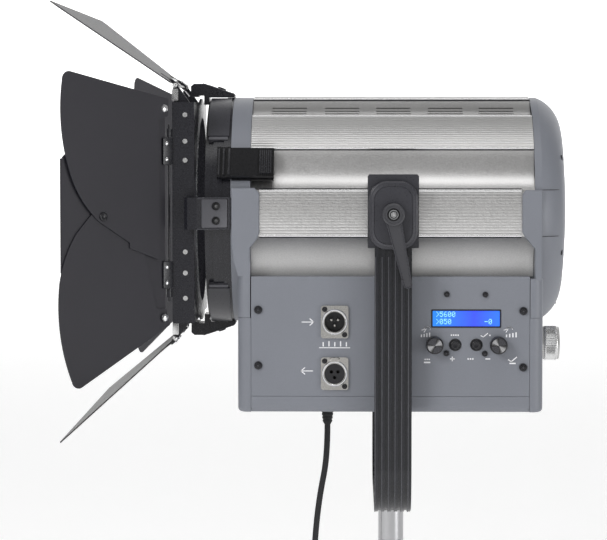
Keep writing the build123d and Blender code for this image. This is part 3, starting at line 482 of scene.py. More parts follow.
def tube(shape, path, radius, sides=14):
    """Sweeps a circle along the path with a frame that doesn't twist."""
    rings = []
    normal = None
    for i, here in enumerate(path):
        ahead = (path[min(i + 1, len(path) - 1)] - path[max(i - 1, 0)]).normalized()
        if normal is None:
            normal = ahead.orthogonal().normalized()
        normal = (normal - ahead * normal.dot(ahead)).normalized()
        other = ahead.cross(normal)
        rings.append([shape.verts.new(here + (normal * math.cos(a) + other * math.sin(a)) * radius)
                      for a in [2 * math.pi * k / sides for k in range(sides)]])
    for a, b in zip(rings, rings[1:]):
        join(shape, a, b)
    shape.faces.new(rings[0][::-1])
    shape.faces.new(rings[-1])


def make_cord():
    """Mains cord from the gland to the plug, with the plug and the coil's straps."""
    path = spline_points(route + coil_points() + tail)
    length = sum((b - a).length for a, b in zip(path, path[1:]))
    print("cord length", round(length, 4), "points", len(path))
    cord = piece("mains_cord", lambda s: tube(s, path, cord_d / 2), soft_black, None)
    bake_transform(cord)
    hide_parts("cord_tube", "cord_coil")
    plug = make_plug(path[-1], (path[-1] - path[-2]).normalized())
    ties = make_ties()


def make_plug(end, down):
    """Two-pin plug with a ribbed grip at the cord's end."""
    turn = basis(down, (0, 1, 0))

    def grips(angle, radius, height):
        ribbed = 16 < height < 33 and radius > 14
        return -0.7 * (0.5 + 0.5 * math.cos(angle * 22)) if ribbed else 0

    def shape_plug(shape):
        lathe(shape, [(3.4, -1), (4.6, 0), (5.0, 3), (4.4, 4), (5.6, 5.5), (5.0, 7), (6.4, 8.5), (6.0, 10),
                      (8.6, 12.5), (13, 14.5), (16.2, 16.5), (17.3, 19), (17.4, 24), (17.4, 30),
                      (17.2, 33), (16.2, 34)], end, turn, 88, grips)
        for spot in (-9.5, 9.5):
            lathe(shape, [(2.5, 33.5), (2.4, 34), (2.4, 51.5), (2.0, 52.6), (1.2, 53)],
                  end + turn @ Vector((spot * mm, 0, 0)), turn, 20)

    made = piece("mains_plug_body", shape_plug, soft_black, "yoke")
    made.data.materials.append(nickel)
    for face in made.data.polygons:
        local = turn.transposed() @ (face.center - end)
        if local.z > 43.5 * mm:
            face.material_index = 1
    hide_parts("mains_plug")
    return made


def make_ties():
    """Two hook-and-loop straps round the coil's turns."""
    ties = []
    for i, degrees in enumerate((52, 232)):
        angle = math.radians(degrees)
        out = Vector((math.cos(angle), 0, math.sin(angle)))
        centre = coil_centre + out * turn_r * mm
        turn = basis(out.cross(Vector((0, 1, 0))), out)

        def strap(shape, centre=centre, turn=turn):
            outer, inner = rounded(20.6, 20.6, 6.5), rounded(19.0, 19.0, 5.8)
            band(shape, ((outer, -6), (outer, 6), (inner, 6), (inner, -6)), centre, turn)

        ties.append(piece(f"coil_strap_{i + 1}", strap, soft_black, "yoke"))
    return ties


make_camera()
make_cord()
paint_nodes()


# ---- round head: ribbed lands, painted highlights and painted shade lines along the land edges, seams of the cap ----
land_half_angle = math.degrees(math.asin(22 / 110))


def ring_point(x, degrees, radius):
    """Point at a distance from the optical axis, angle from +Y towards up."""
    angle = math.radians(degrees)
    return at(x, radius * math.cos(angle), radius * math.sin(angle))


def land_strip(middle, x_front, x_rear):
    """Fine ribs along a land, as an extruded saw profile that follows the head's radius."""
    ribs = 15
    half = land_half_angle - 1.0

    def shape_strip(shape):
        rim = []
        for k in range(ribs * 4 + 1):
            degrees = middle - half + 2 * half * k / (ribs * 4)
            radius = (110.1, 110.75, 110.8, 110.15)[k % 4]
            rim.append((degrees, radius))
        inner = [(middle + half, 109.4), (middle - half, 109.4)]
        outline = rim + inner
        front = [shape.verts.new(ring_point(x_front, d, r)) for d, r in outline]
        rear = [shape.verts.new(ring_point(x_rear, d, r)) for d, r in outline]
        join(shape, front, rear)
        shape.faces.new(front)
        shape.faces.new(rear[::-1])

    return shape_strip


def land_edge(middle, hand, x_front, x_rear, aside=-0.35, radius=110.0, thick=1.25):
    """Rounded bead along one border of a land, in lighter silver as a painted highlight, or the dark line
    beside it as painted shade.
    """
    centre = middle + hand * (land_half_angle + aside)

    def shape_edge(shape):
        path = [ring_point(x, centre, radius) for x in (x_front, x_rear)]
        tube(shape, path, thick * mm, 12)

    return shape_edge


def seam(name, points):
    """Thin dark line along a joint between mouldings."""
    piece(name, lambda shape: tube(shape, points, 0.28 * mm, 6), dark_screw_and_shade_line, "head")


cap_profile = [(141, 110), (147, 108.2), (152.4, 104), (157.5, 98), (161.9, 86.5), (164.8, 72)]


def cap_seams():
    """The dome's side plate is set off by two lines that run back over the corner."""
    for hand in (-1, 1):
        for height in (22, -22):
            points = []
            for x, radius in cap_profile[:-1]:
                depth = math.sqrt((radius + 0.02) ** 2 - height ** 2)
                points.append(at(x, hand * depth, height))
            seam(f"cap_seam_{hand}_{height}", points)


def dress_head():
    """Ribs of the lands along the round head, with painted highlights along their borders and painted shade
    lines beside them.
    """
    for middle in (0, 45, 90, 135, 180):
        on_side = middle in (0, 180)
        x_front = -126.5 if on_side else -134.8
        x_rear = 121.5 if on_side else 133.9
        piece(f"land_ribs_{middle}", land_strip(middle, x_front, x_rear), silver_rib, "head",
              20)
        for hand in (-1, 1):
            name = f"land_edge_{middle}_" + ("low" if hand < 0 else "high")
            # bright bead along the land's border: painted highlight
            piece(name, land_edge(middle, hand, x_front, x_rear), silver_painted_highlight, "head")
            # dark line just inside the bead: painted shade in the groove
            piece(name.replace("edge", "line"), land_edge(middle, hand, x_front, x_rear, 0.55, 109.7, 0.55),
                  dark_screw_and_shade_line, "head")


dress_head()
cap_seams()


# ---- control side: display characters, icons, knob faces, button caps ----
digit_rows = {
    "0": ("01110", "10001", "10011", "10101", "11001", "10001", "01110"),
    "5": ("11111", "10000", "11110", "00001", "00001", "10001", "01110"),
    "6": ("00110", "01000", "10000", "11110", "10001", "10001", "01110"),
    "-": ("00000", "00000", "00000", "11111", "00000", "00000", "00000"),
    ">": ("01000", "00100", "00010", "00001", "00010", "00100", "01000"),
}


window_x = (window_low[0] + window_high[0]) / 2 / mm
window_z = ((window_low[2] + window_high[2]) / 2 - axis_z) / mm


def display_characters(shape):
    """Two rows of five-by-seven dot characters: numbers and plain marks only."""
    pitch = 0.62
    for row, text in enumerate((">5600          ", ">050        -0 ")):
        for column, sign in enumerate(text):
            for line, bits in enumerate(digit_rows.get(sign, ())):
                for dot, bit in enumerate(bits):
                    if bit == "1":
                        x = window_x - 28.5 + column * 3.85 + dot * pitch
                        z = window_z + 6.2 - row * 6.9 - line * (pitch + 0.1)
                        prism(shape, rounded(0.54, 0.62, 0.08, 1, x, z),
                              Vector((0, window_low[1], axis_z)), side_turn, 0.02, 0.08)


def window_bezel(shape):
    """Thin dark seal round the display window."""
    outer = rounded(66.2, 17.4, 0.8, 3, window_x, window_z)
    inner = rounded(63.4, 14.6, 0.5, 3, window_x, window_z)
    band(shape, ((outer, -0.4), (outer, 0.35), (inner, 0.35), (inner, -0.4)), side_origin, side_turn)


def stroke(shape, points, width=0.8):
    """Printed line of even width through the points."""
    for a, b in zip(points, points[1:]):
        a, b = Vector(a), Vector(b)
        along = (b - a).normalized() * width / 2
        across = Vector((-along.y, along.x))
        outline = [a - along + across, a - along - across, b + along - across, b + along + across]
        prism(shape, [(p.x, p.y) for p in outline], side_origin, side_turn, 0.0, 0.08)


def arc_points(x, y, radius, start, stop, count=10):
    """Points along an arc between two angles in degrees."""
    return [(x + radius * math.cos(math.radians(start + (stop - start) * i / count)),
             y + radius * math.sin(math.radians(start + (stop - start) * i / count)))
            for i in range(count + 1)]


def dot_row(shape, x, z, count, pitch=2.1, size=0.75):
    """Printed dots in a row centred on a spot."""
    for i in range(count):
        dot = circle(size, 12, x + (i - (count - 1) / 2) * pitch, z)
        prism(shape, dot, side_origin, side_turn, 0.0, 0.08)


def panel_marks(shape):
    """Plain signs in place of words: arrows at the sockets, level bars and dots at the controls."""
    low = -103.0
    stroke(shape, [(-86, low), (-75, low)])
    stroke(shape, [(-78.5, low + 3), (-75, low), (-78.5, low - 3)])
    low = -149.5
    stroke(shape, [(-87, low), (-76, low)])
    stroke(shape, [(-83.5, low + 3), (-87, low), (-83.5, low - 3)])
    for k in range(5):
        stroke(shape, [(-66 + k * 5.5, -125.6), (-66 + k * 5.5, -122.6 + (k % 2) * 0.9)], 1.1)
    stroke(shape, [(-69.5, -127.4), (-40.8, -127.4)], 0.7)
    for x, hand in ((30.5, 1), (112.0, -1)):
        tip = x + 2 * hand
        stroke(shape, arc_points(tip, -110.6, 3.2, 20, 160), 0.7)
        stroke(shape, [(tip - 3, -112.5), (tip - 1, -109.5), (tip - 5, -110.4)], 0.6)
    for k in range(4):
        stroke(shape, [(107.5 + k * 3.0, -116.6), (107.5 + k * 3.0, -115.2 + k * 0.7)], 1.3)
        stroke(shape, [(27.0 + k * 2.6, -116.6), (27.0 + k * 2.6, -115.2 + k * 0.6)], 1.1)
    dot_row(shape, 58.6, -115.2, 4)
    stroke(shape, [(83.5, -115.8), (85.5, -117.0), (89.5, -113.6)], 0.9)
    dot_row(shape, 91.8, -115.4, 1)
    dot_row(shape, 32.5, -138.3, 3, 1.9, 0.7)
    stroke(shape, [(30.2, -141.2), (34.8, -141.2)], 1.4)
    stroke(shape, [(54.6, -137.8), (58.0, -137.8)], 1.0)
    stroke(shape, [(56.3, -136.1), (56.3, -139.5)], 1.0)
    dot_row(shape, 73.5, -137.8, 3, 2.2, 0.8)
    stroke(shape, [(88.1, -137.8), (91.7, -137.8)], 1.0)
    stroke(shape, [(109.5, -138.6), (112.0, -140.4), (117.0, -136.2)], 1.0)
    stroke(shape, [(111.0, -142.0), (115.6, -142.0)], 1.3)


def knob_details():
    """Fluted sleeves and turned faces of the two knobs, the faces with a painted sheen, dished caps and
    collars of the two buttons.
    """
    for side, (x, z) in knob_centres.items():
        low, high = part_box("encoder_knob_" + side)
        face = Vector((x, low[1], z))

        def flute(angle, radius, height):
            return 0.22 * math.cos(angle * 36) if height < -1 else 0

        def sleeve(shape, face=face, flute=flute):
            lathe(shape, [(8.2, -11.0), (8.2, -9.0), (8.15, -2.0), (8.05, -0.9), (7.3, -0.15)], face,
                  side_turn, 144, flute)

        def cap(shape, face=face):
            rings = [(6.9, -0.2), (6.9, 0.16)]
            for k in range(9):
                rings.append((6.6 - k * 0.66, 0.24 if k % 2 else 0.14))
            lathe(shape, rings + [(0.5, 0.14)], face, side_turn, 72)

        piece(f"knob_sleeve_{side}", sleeve, black_plastic, "knob_" + side, 50)
        made = piece(f"knob_face_{side}", cap, spun, "knob_" + side, 30)
        for tone in spun_painted_sheen:
            made.data.materials.append(tone)
        # each facet takes a spun tone by its angle: a painted sheen, lightest at bright_angle
        bright_angle = 0.5 if side == "left" else 2.4  # radians, where the turned face is lightest
        tones = 1 + len(spun_painted_sheen)
        for facet in made.data.polygons:
            angle = math.atan2(facet.center.z - z, facet.center.x - x)
            light = 0.5 + 0.5 * math.cos(2 * (angle - bright_angle))
            facet.material_index = min(tones - 1, int(light ** 2.2 * tones))
    for name in ("mode", "confirm"):
        low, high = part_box(name + "_button")
        face = Vector(((low[0] + high[0]) / 2, low[1], (low[2] + high[2]) / 2))

        def dish(shape, face=face):
            lathe(shape, [(3.1, -0.4), (3.1, 0.25), (2.7, 0.38), (2.2, 0.2), (1.2, 0.08), (0.3, 0.05)], face,
                  side_turn, 40)

        def collar(shape, face=face):
            round_band(shape, [(5.9, -0.5), (5.9, 0.5), (5.5, 0.8), (4.98, 0.8), (4.98, -0.5)],
                       Vector((face.x, panel_y, face.z)), side_turn)

        piece(name + "_button_dish", dish, dark_screw_and_shade_line, name + "_key")
        piece(name + "_button_collar", collar, black_plastic, "head")


piece("display_characters", display_characters, pixel_glow, "head")
piece("display_seal", window_bezel, black_plastic, "head")
piece("panel_marks", panel_marks, white_ink, "head")
knob_details()


# ---- barn doors: straps, rivets, springs; pads on the accessory ring ----
hinge_spot = {"top": (-208.0, 121.0), "bottom": (-208.0, 121.0),
              "near": (-212.4, 106.0), "far": (-212.4, 106.0)}
leaf_angle = {"top": 36.0, "bottom": 41.0, "near": 41.0, "far": 60.0}
strap_spots = (-58.5, 58.5)  # along the hinge
outward = {"top": (0, 0, 1), "bottom": (0, 0, -1), "near": (0, -1, 0), "far": (0, 1, 0)}


def leaf_frame(which):
    """Hinge point, run away from the hinge, direction along the hinge and outer normal of a leaf."""
    out = Vector(outward[which])
    tip = math.radians(leaf_angle[which])
    x, distance = hinge_spot[which]
    origin = Vector((x * mm, 0, axis_z)) + out * distance * mm
    run = Vector((-1, 0, 0)) * math.cos(tip) + out * math.sin(tip)
    normal = Vector((1, 0, 0)) * math.sin(tip) + out * math.cos(tip)
    along = Vector((0, 0, 1)) if which in ("near", "far") else Vector((0, 1, 0))
    return origin, run, along, normal


def dome(shape, centre, out, radius, height, count=24):
    """Rounded rivet head."""
    lathe(shape, [(radius, -0.3), (radius, 0.15 * height), (0.92 * radius, 0.55 * height),
                  (0.65 * radius, 0.88 * height), (0.2 * radius, height)], centre,
          basis(out, out.orthogonal()), count)


def dress_leaf(which):
    """Hinge straps with their rivets, and the folded free edge."""
    origin, run, along, normal = leaf_frame(which)
    turn = Matrix((run, along, normal)).transposed()
    body = "leaf_" + which

    def straps(shape):
        for spot in strap_spots:
            prism(shape, rounded(10.8, 26, 1.6, 4, 3.2, spot), origin, turn, 0.6, 2.95, 0.5)

    def strap_rivets(shape):
        for spot in strap_spots:
            for step in (-7.5, 7.5):
                seat = origin + (run * 4.6 + along * (spot + step) + normal * 2.95) * mm
                dome(shape, seat, normal, 2.1, 1.2)
        if which in ("near", "far"):
            for spot in (-99, 99):
                dome(shape, origin + (run * 8 + along * spot + normal * 4.2) * mm, normal, 4.0, 1.9, 32)

    def beads(shape):
        """Folded edge that stiffens the plate's free border."""
        half = 245 if which in ("top", "bottom") else 54.5
        reach = 124.0  # from the hinge line
        path = [origin + (run * reach + along * share * half * 0.97) * mm for share in (-1, -0.5, 0, 0.5, 1)]
        tube(shape, path, 0.75 * mm, 8)

    piece(which + "_leaf_straps", straps, black_metal, body)
    piece(which + "_leaf_rivets", strap_rivets, chrome, body)
    piece(which + "_leaf_edge", beads, leaf_black, body)


def dress_wings(which):
    """A domed stop where the two wings cross, with a dished middle."""
    origin, run, along, normal = leaf_frame(which)
    centre = origin + (run * 79 + along * -1.5 + normal * 3.7) * mm
    turn = basis(normal, run)

    def stop(shape):
        lathe(shape, [(4.4, -0.3), (4.4, 0.5), (3.9, 1.4), (2.9, 1.7), (2.2, 1.2), (1.2, 0.9), (0.3, 0.9)],
              centre, turn, 32)

    piece(which + "_wing_stop", stop, dark_screw_and_shade_line, f"wing_{which}_upper")


def hinge_springs(which):
    """Coil springs round the hinge pin between the knuckles, with a leg on the frame and on the leaf."""
    origin, run, along, normal = leaf_frame(which)
    out = Vector(outward[which])
    first = Vector((-1, 0, 0))

    def coils(shape):
        for hand in (-1, 1):
            path = []
            for k in range(73):
                angle = 2 * math.pi * k / 14.4
                spot = hand * (64.4 + 7.2 * k / 72)
                path.append(origin + (first * math.cos(angle) * 2.9 + out * math.sin(angle) * 2.9
                                      + along * spot) * mm)
            path.append(origin + (Vector((1, 0, 0)) * 4.5 - out * 9 + along * hand * 71.6) * mm)
            tube(shape, path, 0.62 * mm, 8)

    def legs(shape):
        for hand in (-1, 1):
            tube(shape, [origin + (normal * 2.9 + along * hand * 64.2) * mm,
                         origin + (run * 8 + normal * 1.8 + along * hand * 63.6) * mm,
                         origin + (run * 19 + normal * 1.2 + along * hand * 61) * mm], 0.62 * mm, 8)

    def pin_ends(shape):
        for hand in (-1, 1):
            dome(shape, origin + along * hand * 84 * mm, along * hand, 2.4, 2.0)
            prism(shape, rounded(6, 12, 1.2, 3), origin + (along * hand * 80.4 - out * 9) * mm,
                  basis(along * hand, (1, 0, 0)), 0, 1.2, 0.3)

    piece(which + "_hinge_springs", coils, chrome, "ring")
    piece(which + "_spring_legs", legs, chrome, "leaf_" + which)
    piece(which + "_pin_ends", pin_ends, steel, "ring")


def arc_plate(x_front, x_rear, start, stop, low, high, bevel=0.9):
    """Curved block about the optical axis between two angles, its outer edges rounded."""
    steps = max(3, int(abs(stop - start) / 3))

    def shape_plate(shape):
        grid = []
        for k in range(steps + 1):
            degrees = start + (stop - start) * k / steps
            grid.append([shape.verts.new(ring_point(x, degrees, r)) for x, r in
                         ((x_front, low), (x_front, high), (x_rear, high), (x_rear, low))])
        for a, b in zip(grid, grid[1:]):
            join(shape, a, b)
        shape.faces.new(grid[0][::-1])
        shape.faces.new(grid[-1])
        sharp = [e for e in shape.edges if e.calc_face_angle(0) > 0.8 and all(
            abs((v.co - Vector((v.co.x, 0, axis_z))).length - high * mm) < 2e-5 for v in e.verts)]
        bmesh.ops.bevel(shape, geom=sharp, offset=bevel * mm, segments=3, affect="EDGES", profile=0.6)

    return shape_plate


def dress_ring():
    """Raised pads and ribs round the accessory ring, the ribs lighter as a painted highlight; plate, screws
    and border on each ear, with the plate lighter as painted light on the sloping face, a painted glint in
    each screw and the border as a painted highlight.
    """
    for quadrant, (start, stop) in enumerate(((41, 79), (101, 139), (221, 259), (281, 319))):
        piece(f"ring_pad_{quadrant + 1}", arc_plate(-176.4, -156.2, start, stop, 105.5, 111.4), boss_black,
              "ring")
        for degrees in (start - 1.3, stop + 1.3):
            if abs(degrees - 90) > 25 and abs(degrees - 270) > 25:
                rib = arc_plate(-175.6, -157.5, degrees - 0.9, degrees + 0.9, 105.5, 110.9, 0.5)
                # lighter rib strip at each pad's end: painted highlight
                piece(f"ring_rib_{round(degrees)}", rib, painted_lit_black, "ring")
    lean = math.atan2(123.6 - 112.8, 185.0 - 153.7)  # slope of an ear's outer face
    for turn in (0, 90, 180, 270):
        out = Vector((0, math.cos(math.radians(turn)), math.sin(math.radians(turn))))
        normal = Vector((math.sin(lean), 0, 0)) + out * math.cos(lean)
        across = out.cross(Vector((1, 0, 0)))
        seat = Vector((-167.6 * mm, 0, axis_z)) + out * 117.6 * mm

        def pair(profile, facets, seat=seat, normal=normal, across=across):
            def shape_pair(shape):
                for hand in (-1, 1):
                    lathe(shape, profile, seat + across * hand * 6.9 * mm, basis(normal, across), facets)

            return shape_pair

        def lip(shape, out=out, across=across):
            path = [at(-155.3, 0, 0) + out * 113.6 * mm + across * h * 14.4 * mm for h in (-1, 1)]
            tube(shape, path, 0.75 * mm, 10)
            for h in (-1, 1):
                tube(shape, [at(-185.2, 0, 0) + out * 123.5 * mm + across * h * 14.6 * mm,
                             at(-155.3, 0, 0) + out * 113.5 * mm + across * h * 14.6 * mm], 0.7 * mm, 10)

        def plate(shape, seat=seat, normal=normal, across=across):
            facing = Matrix((across.cross(normal), across, normal)).transposed()
            prism(shape, rounded(25.0, 27.0, 1.0, 3, -1.4, 0), seat, facing, -0.3, 0.8, 0.5)

        heads = pair([(4.0, -0.2), (3.95, 1.5), (3.3, 2.3), (2.0, 2.4), (1.9, 1.7), (0.2, 1.7)], 32)
        sockets = pair([(1.75, 1.5), (1.75, 2.0), (1.3, 2.15), (0.7, 1.95), (0.2, 1.8)], 6)
        # lighter plate: painted light on the ear's sloping face
        piece(f"ear_plate_{turn}", plate, painted_lit_black, "ring")
        piece(f"ear_screws_{turn}", heads, latch_black, "ring")
        # hex centre of each screw in a lighter spun tone: painted glint
        piece(f"ear_screw_painted_glints_{turn}", sockets, spun_painted_sheen[1], "ring", 20)
        # lighter bead along the ear's borders: painted highlight
        piece(f"ear_border_{turn}", lip, painted_highlight_black, "ring")


def dress_latch():
    """Guide rails and a stop bar over the release slider."""
    degrees = 156.0
    out = Vector((0, math.cos(math.radians(degrees)), math.sin(math.radians(degrees))))
    across = out.cross(Vector((1, 0, 0)))
    turn = Matrix((Vector((1, 0, 0)), across, out)).transposed()
    middle = Vector((0, 0, axis_z)) + out * 119.4 * mm

    def bars(shape):
        for x, wide in ((-164.6, 1.6), (-160.2, 1.6), (-155.0, 2.0)):
            prism(shape, rounded(wide, 27, 0.6, 3, x, 0), middle, turn, 0, 0.9, 0.3)

    def thumb(shape):
        for k in range(6):
            prism(shape, rounded(1.1, 24, 0.4, 3, -125.6 + k * 2.0, 0), middle, turn, -0.3, 0.75, 0.25)

    piece("latch_bars", bars, dark_screw_and_shade_line, "latch")
    piece("latch_thumb_ribs", thumb, black_metal, "latch")


for leaf_name in ("top", "bottom", "near", "far"):
    dress_leaf(leaf_name)
for leaf_name in ("near", "far"):
    dress_wings(leaf_name)
for leaf_name in ("top", "bottom"):
    hinge_springs(leaf_name)
dress_ring()
dress_latch()


# ---- yoke side: lever, pivot bolts, socket collar ----
def dress_pivot():
    """Lever, pivot screw and boss rims, lighter bead lines on the yoke bar's rib edges and the stand socket's
    rings; the beads, the rims and the lever's edge lines are painted highlights.
    """
    lever_face = at(0, -148.0, 0)

    def hub(shape):
        round_band(shape, [(10.4, -0.3), (10.4, 0.2), (9.6, 0.9), (8.6, 0.9), (8.0, 0.3), (7.9, -0.3)],
                   lever_face, side_turn)

    def ribs(shape):
        for low, high in (((-6.0, -9), (9.9, -66.4)), ((7.2, -9), (16.9, -66.0))):
            tube(shape, [at(low[0], -146.4, low[1]), at(high[0], -146.4, high[1])], 0.8 * mm, 10)
        tube(shape, [at(9.9, -146.2, -67.2), at(13.4, -146.2, -68.6), at(17.1, -146.2, -66.6)], 0.9 * mm, 10)

    def bolt(shape):
        for profile in ([(6.4, -3.0), (6.4, -0.5), (5.8, 0.3), (4.6, 0.4), (4.5, -0.2)],
                        [(3.6, -0.2), (3.6, 0.3), (2.7, 0.35), (2.6, 0.1)]):
            lathe(shape, profile, lever_face, side_turn, 40)

    def socket(shape):
        for facets, outer, inner, level in ((40, 4.5, 3.5, 0.75), (6, 2.5, 1.4, 0.55)):
            lathe(shape, [(outer, -1.0), (outer, level - 0.25), (outer - 0.3, level), (inner + 0.25, level),
                          (inner, level - 0.35), (inner - 0.1, -0.2)], lever_face, side_turn, facets)

    def rim(shape):
        for hand in (-1, 1):
            sections = [(rounded(wide, wide + 18, corner, 10), level) for wide, corner, level in (
                (46.2, 17, -2.4), (44.4, 16.2, -0.4), (36.5, 13, 0.7), (35.6, 12.6, 0.1), (35.4, 12.5, -0.8))]
            band(shape, sections, at(0, hand * 139.5, -1), basis((0, hand, 0), (1, 0, 0)))

    def beads(shape):
        """Lighter lines on the corners of the bar's ribs, followed round both bends of the U: painted
        highlights.
        """
        face, bend_y, bend_z, radius = 135.0, 89.9, -241.5, 45.1
        section = [(-face, -40.0), (-face, bend_z)]
        section += [(-bend_y - radius * math.cos(a), bend_z - radius * math.sin(a))
                    for a in [math.pi / 2 * k / 10 for k in range(1, 11)]]
        section += [(-y, z) for y, z in section[::-1]]
        for rib in range(6):
            x = (rib - 2.5) * 6.2 - 1.2
            tube(shape, [at(x, y, z) for y, z in section], 0.5 * mm, 6)

    # lighter beads along the rib corners, the rims round the bosses and the lines along the lever's edges:
    # painted highlights
    piece("yoke_rib_edges", beads, painted_lit_black, "yoke")
    piece("pivot_rims", rim, painted_highlight_black, "yoke")
    piece("lever_hub_ring", hub, lever_black, "lever")
    piece("lever_edges", ribs, painted_highlight_black, "lever")
    piece("pivot_screw_ring", bolt, latch_black, "yoke")
    piece("pivot_screw_socket", socket, zinc, "yoke", 20)

    def collar(shape):
        upright = Matrix.Identity(3)
        lathe(shape, [(12.4, -0.2), (12.9, 0.3), (12.9, 2.6), (12.4, 3.1)], Vector((0, 0, 52 * mm)), upright,
              64)
        for k in range(5):
            lathe(shape, [(12.4, -0.2), (12.85, 0.15), (12.85, 0.75), (12.4, 1.1)],
                  Vector((0, 0, (6 + 2.4 * k) * mm)), upright, 64)

    piece("socket_rings", collar, satin_chrome, "yoke")


def screw_heads():
    """Domed cap-head screws with a recess, on both sides of the lower case, each with a small spun disc in
    its recess as a painted glint.
    """
    large = ((-127.6, -91.4), (-127.6, -144.3), (123.4, -92.3), (123.4, -145.8))
    small = ((51, -76.5), (87.4, -76.8), (50.8, -132.5), (87, -132.8))
    head = ((3.9, -0.1), (3.85, 1.3), (3.2, 2.25), (2.05, 2.45), (1.95, 2.0), (0.2, 2.0))
    # small disc in each recess: a painted glint
    recess = ((1.2, 1.95), (1.1, 2.3), (0.3, 2.35))

    def screws(hand, profile, facets):
        def shape_screws(shape):
            for spots, size in ((large, 1.0), (small if hand < 0 else (), 0.72)):
                sized = [(radius * size, height) for radius, height in profile[:-1]] + [profile[-1]]
                for x, z in spots:
                    lathe(shape, sized, Vector((x * mm, hand * -panel_y, axis_z + z * mm)),
                          basis((0, hand, 0), (1, 0, 0)), facets)

        return shape_screws

    for hand, name in ((-1, "near"), (1, "far")):
        piece("case_screws_" + name, screws(hand, head, 36), dark_screw_and_shade_line, "head")
        piece("screw_painted_glints_" + name, screws(hand, recess, 6), spun, "head", 20)


def socket_rings():
    """Rolled rim and screws of each data socket, and the release tab of the lower one."""
    for name, height in (("in", -102.8), ("out", -151.9)):
        centre = Vector((socket_x, -115.2 * mm, axis_z + height * mm))

        def ring(shape, centre=centre):
            round_band(shape, [(12.3, -0.1), (12.3, 1.0), (11.7, 1.75), (10.6, 1.75), (10.0, 1.2),
                               (9.95, -0.1)], centre, side_turn, 56)

        def screws(shape, centre=centre):
            for x, z in ((-9.3, 12.2), (9.3, -12.2)):
                lathe(shape, [(2.5, -0.2), (2.4, 0.9), (1.7, 1.5), (0.9, 1.5), (0.8, 1.0), (0.2, 1.0)],
                      centre + side_turn @ Vector((x * mm, z * mm, 0)), side_turn, 28)

        piece(f"socket_ring_{name}", ring, chrome, "head")
        piece(f"socket_screws_{name}", screws, dark_screw_and_shade_line, "head")
    def release(shape):
        centre = Vector((socket_x, -115.6 * mm, axis_z - 138.4 * mm))
        prism(shape, rounded(9.5, 3.4, 1.0, 3), centre, side_turn, -0.4, 1.7, 0.5)
        for x in (-2.2, 0, 2.2):
            prism(shape, rounded(1.0, 2.2, 0.3, 2, x, 0), centre, side_turn, 1.6, 2.1, 0.1)

    piece("socket_release", release, nickel, "head")


def dress_focus_knob():
    """Fine straight knurl with turned rings at both ends."""
    low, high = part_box("focus_knob")
    centre = Vector((low[0], (low[1] + high[1]) / 2, (low[2] + high[2]) / 2))
    turn = basis((1, 0, 0), (0, 1, 0))

    def ridge(angle, radius, height):
        return 0.3 * math.cos(angle * 60) if 9 < height < 19 else 0

    def knurl(shape):
        lathe(shape, [(16.05, 7.6), (16.5, 8.0), (16.5, 9.5), (16.4, 10.0), (16.4, 18.0), (16.5, 18.6),
                      (16.5, 20.4), (15.6, 21.4), (15.0, 21.5)], centre, turn, 240, ridge)

    def steps(shape):
        lathe(shape, [(13.4, 22.4), (13.3, 22.9), (4.0, 22.9), (3.8, 22.4)], centre, turn, 64)

    piece("focus_knob_knurl", knurl, steel, "focus", 50)
    piece("focus_knob_cap", steps, spun, "focus")


def strain_relief():
    """Collar, then a tapering ribbed sleeve round the cord where it leaves the case."""
    low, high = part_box("cable_gland")
    centre = Vector(((low[0] + high[0]) / 2, (low[1] + high[1]) / 2, high[2]))
    long = (high[2] - low[2]) / mm

    def sleeve(shape):
        profile = [(8.4, 0.0), (8.4, 4.2), (7.9, 4.8), (7.6, 5.0), (7.6, 6.2)]
        count = 7
        for k in range(count):
            share = k / count
            start = 6.6 + (long - 7.4) * share
            wide = 7.4 - 3.0 * share
            profile += [(wide, start), (wide, start + 1.9), (wide - 0.9, start + 2.2),
                        (wide - 0.9, start + 2.9)]
        profile += [(3.9, long - 0.4), (3.4, long)]
        lathe(shape, profile, centre, basis((0, 0, -1), (1, 0, 0)), 40)

    made = piece("strain_relief", sleeve, soft_black, "head", 40)
    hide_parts("cable_gland")


dress_pivot()
screw_heads()
socket_rings()
dress_focus_knob()
strain_relief()


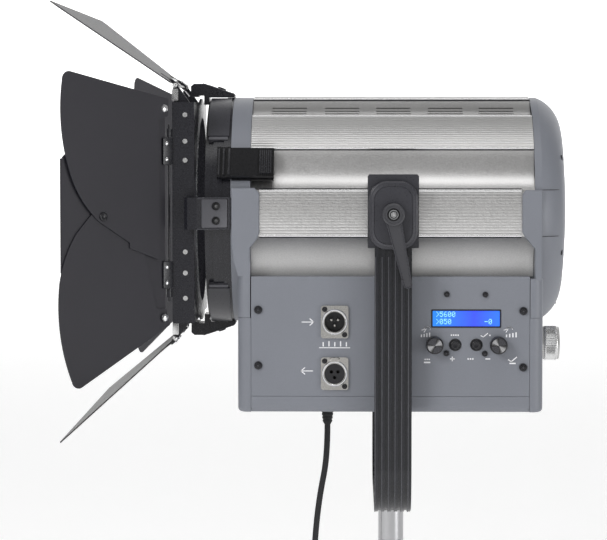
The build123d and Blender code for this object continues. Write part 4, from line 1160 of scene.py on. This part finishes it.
# ---- stage ----
def make_stage():
    """Pale floor, white card behind and an even white surround."""
    def slab(name, size, place, turn=(0, 0, 0)):
        mesh = bpy.data.meshes.new(name)
        half = size / 2
        mesh.from_pydata([(-half, -half, 0), (half, -half, 0), (half, half, 0), (-half, half, 0)], [],
                         [(0, 1, 2, 3)])
        made = bpy.data.objects.new(name, mesh)
        bpy.context.scene.collection.objects.link(made)
        made.location = place
        made.rotation_euler = turn
        return made

    def pale(name, vary, strength):
        made = material(name, (0.9, 0.9, 0.9), rough=0.9, vary=vary, grain=40, bump=0.0)
        shader = made.node_tree.nodes["Principled BSDF"]
        shader.inputs["Emission Color"].default_value = (1, 1, 1, 1)
        shader.inputs["Emission Strength"].default_value = strength
        return made

    drop = 0.05  # the floor lies this far under the object
    floor = slab("floor", 24, (0, 0, cad_box[0][2] - drop))
    floor.data.materials.append(pale("pale_floor", 0.01, 0.35))
    card = slab("backdrop", 16, (0, 8.0, 0.6), (math.radians(90), 0, 0))
    card.data.materials.append(pale("white_card", 0.005, 1.0))
    world = bpy.data.worlds.new("studio")
    bpy.context.scene.world = world
    world.use_nodes = True
    world.node_tree.nodes["Background"].inputs["Color"].default_value = (1, 1, 1, 1)
    world.node_tree.nodes["Background"].inputs["Strength"].default_value = 0.32
    bpy.context.scene.view_settings.view_transform = "Standard"


lamp_aim = Vector((0, 0, 0.3))


def area(name, place, size, power, size_y=None):
    """Soft lamp that points at the middle of the object."""
    data = bpy.data.lights.new(name, "AREA")
    data.energy = power
    data.size = size
    if size_y:
        data.shape = "RECTANGLE"
        data.size_y = size_y
    lamp = bpy.data.objects.new(name, data)
    bpy.context.scene.collection.objects.link(lamp)
    lamp.location = place
    lamp.rotation_euler = (lamp_aim - Vector(place)).to_track_quat("-Z", "Y").to_euler()


make_stage()
area("key_left", (-1.7, -1.9, 1.5), 1.0, 34)
area("strip_above", (0.1, -0.7, 1.9), 2.2, 7.5, 0.5)
area("fill_right", (2.0, -1.5, 0.2), 1.0, 14)
area("fill_low", (-0.2, -1.4, -1.5), 1.0, 5)
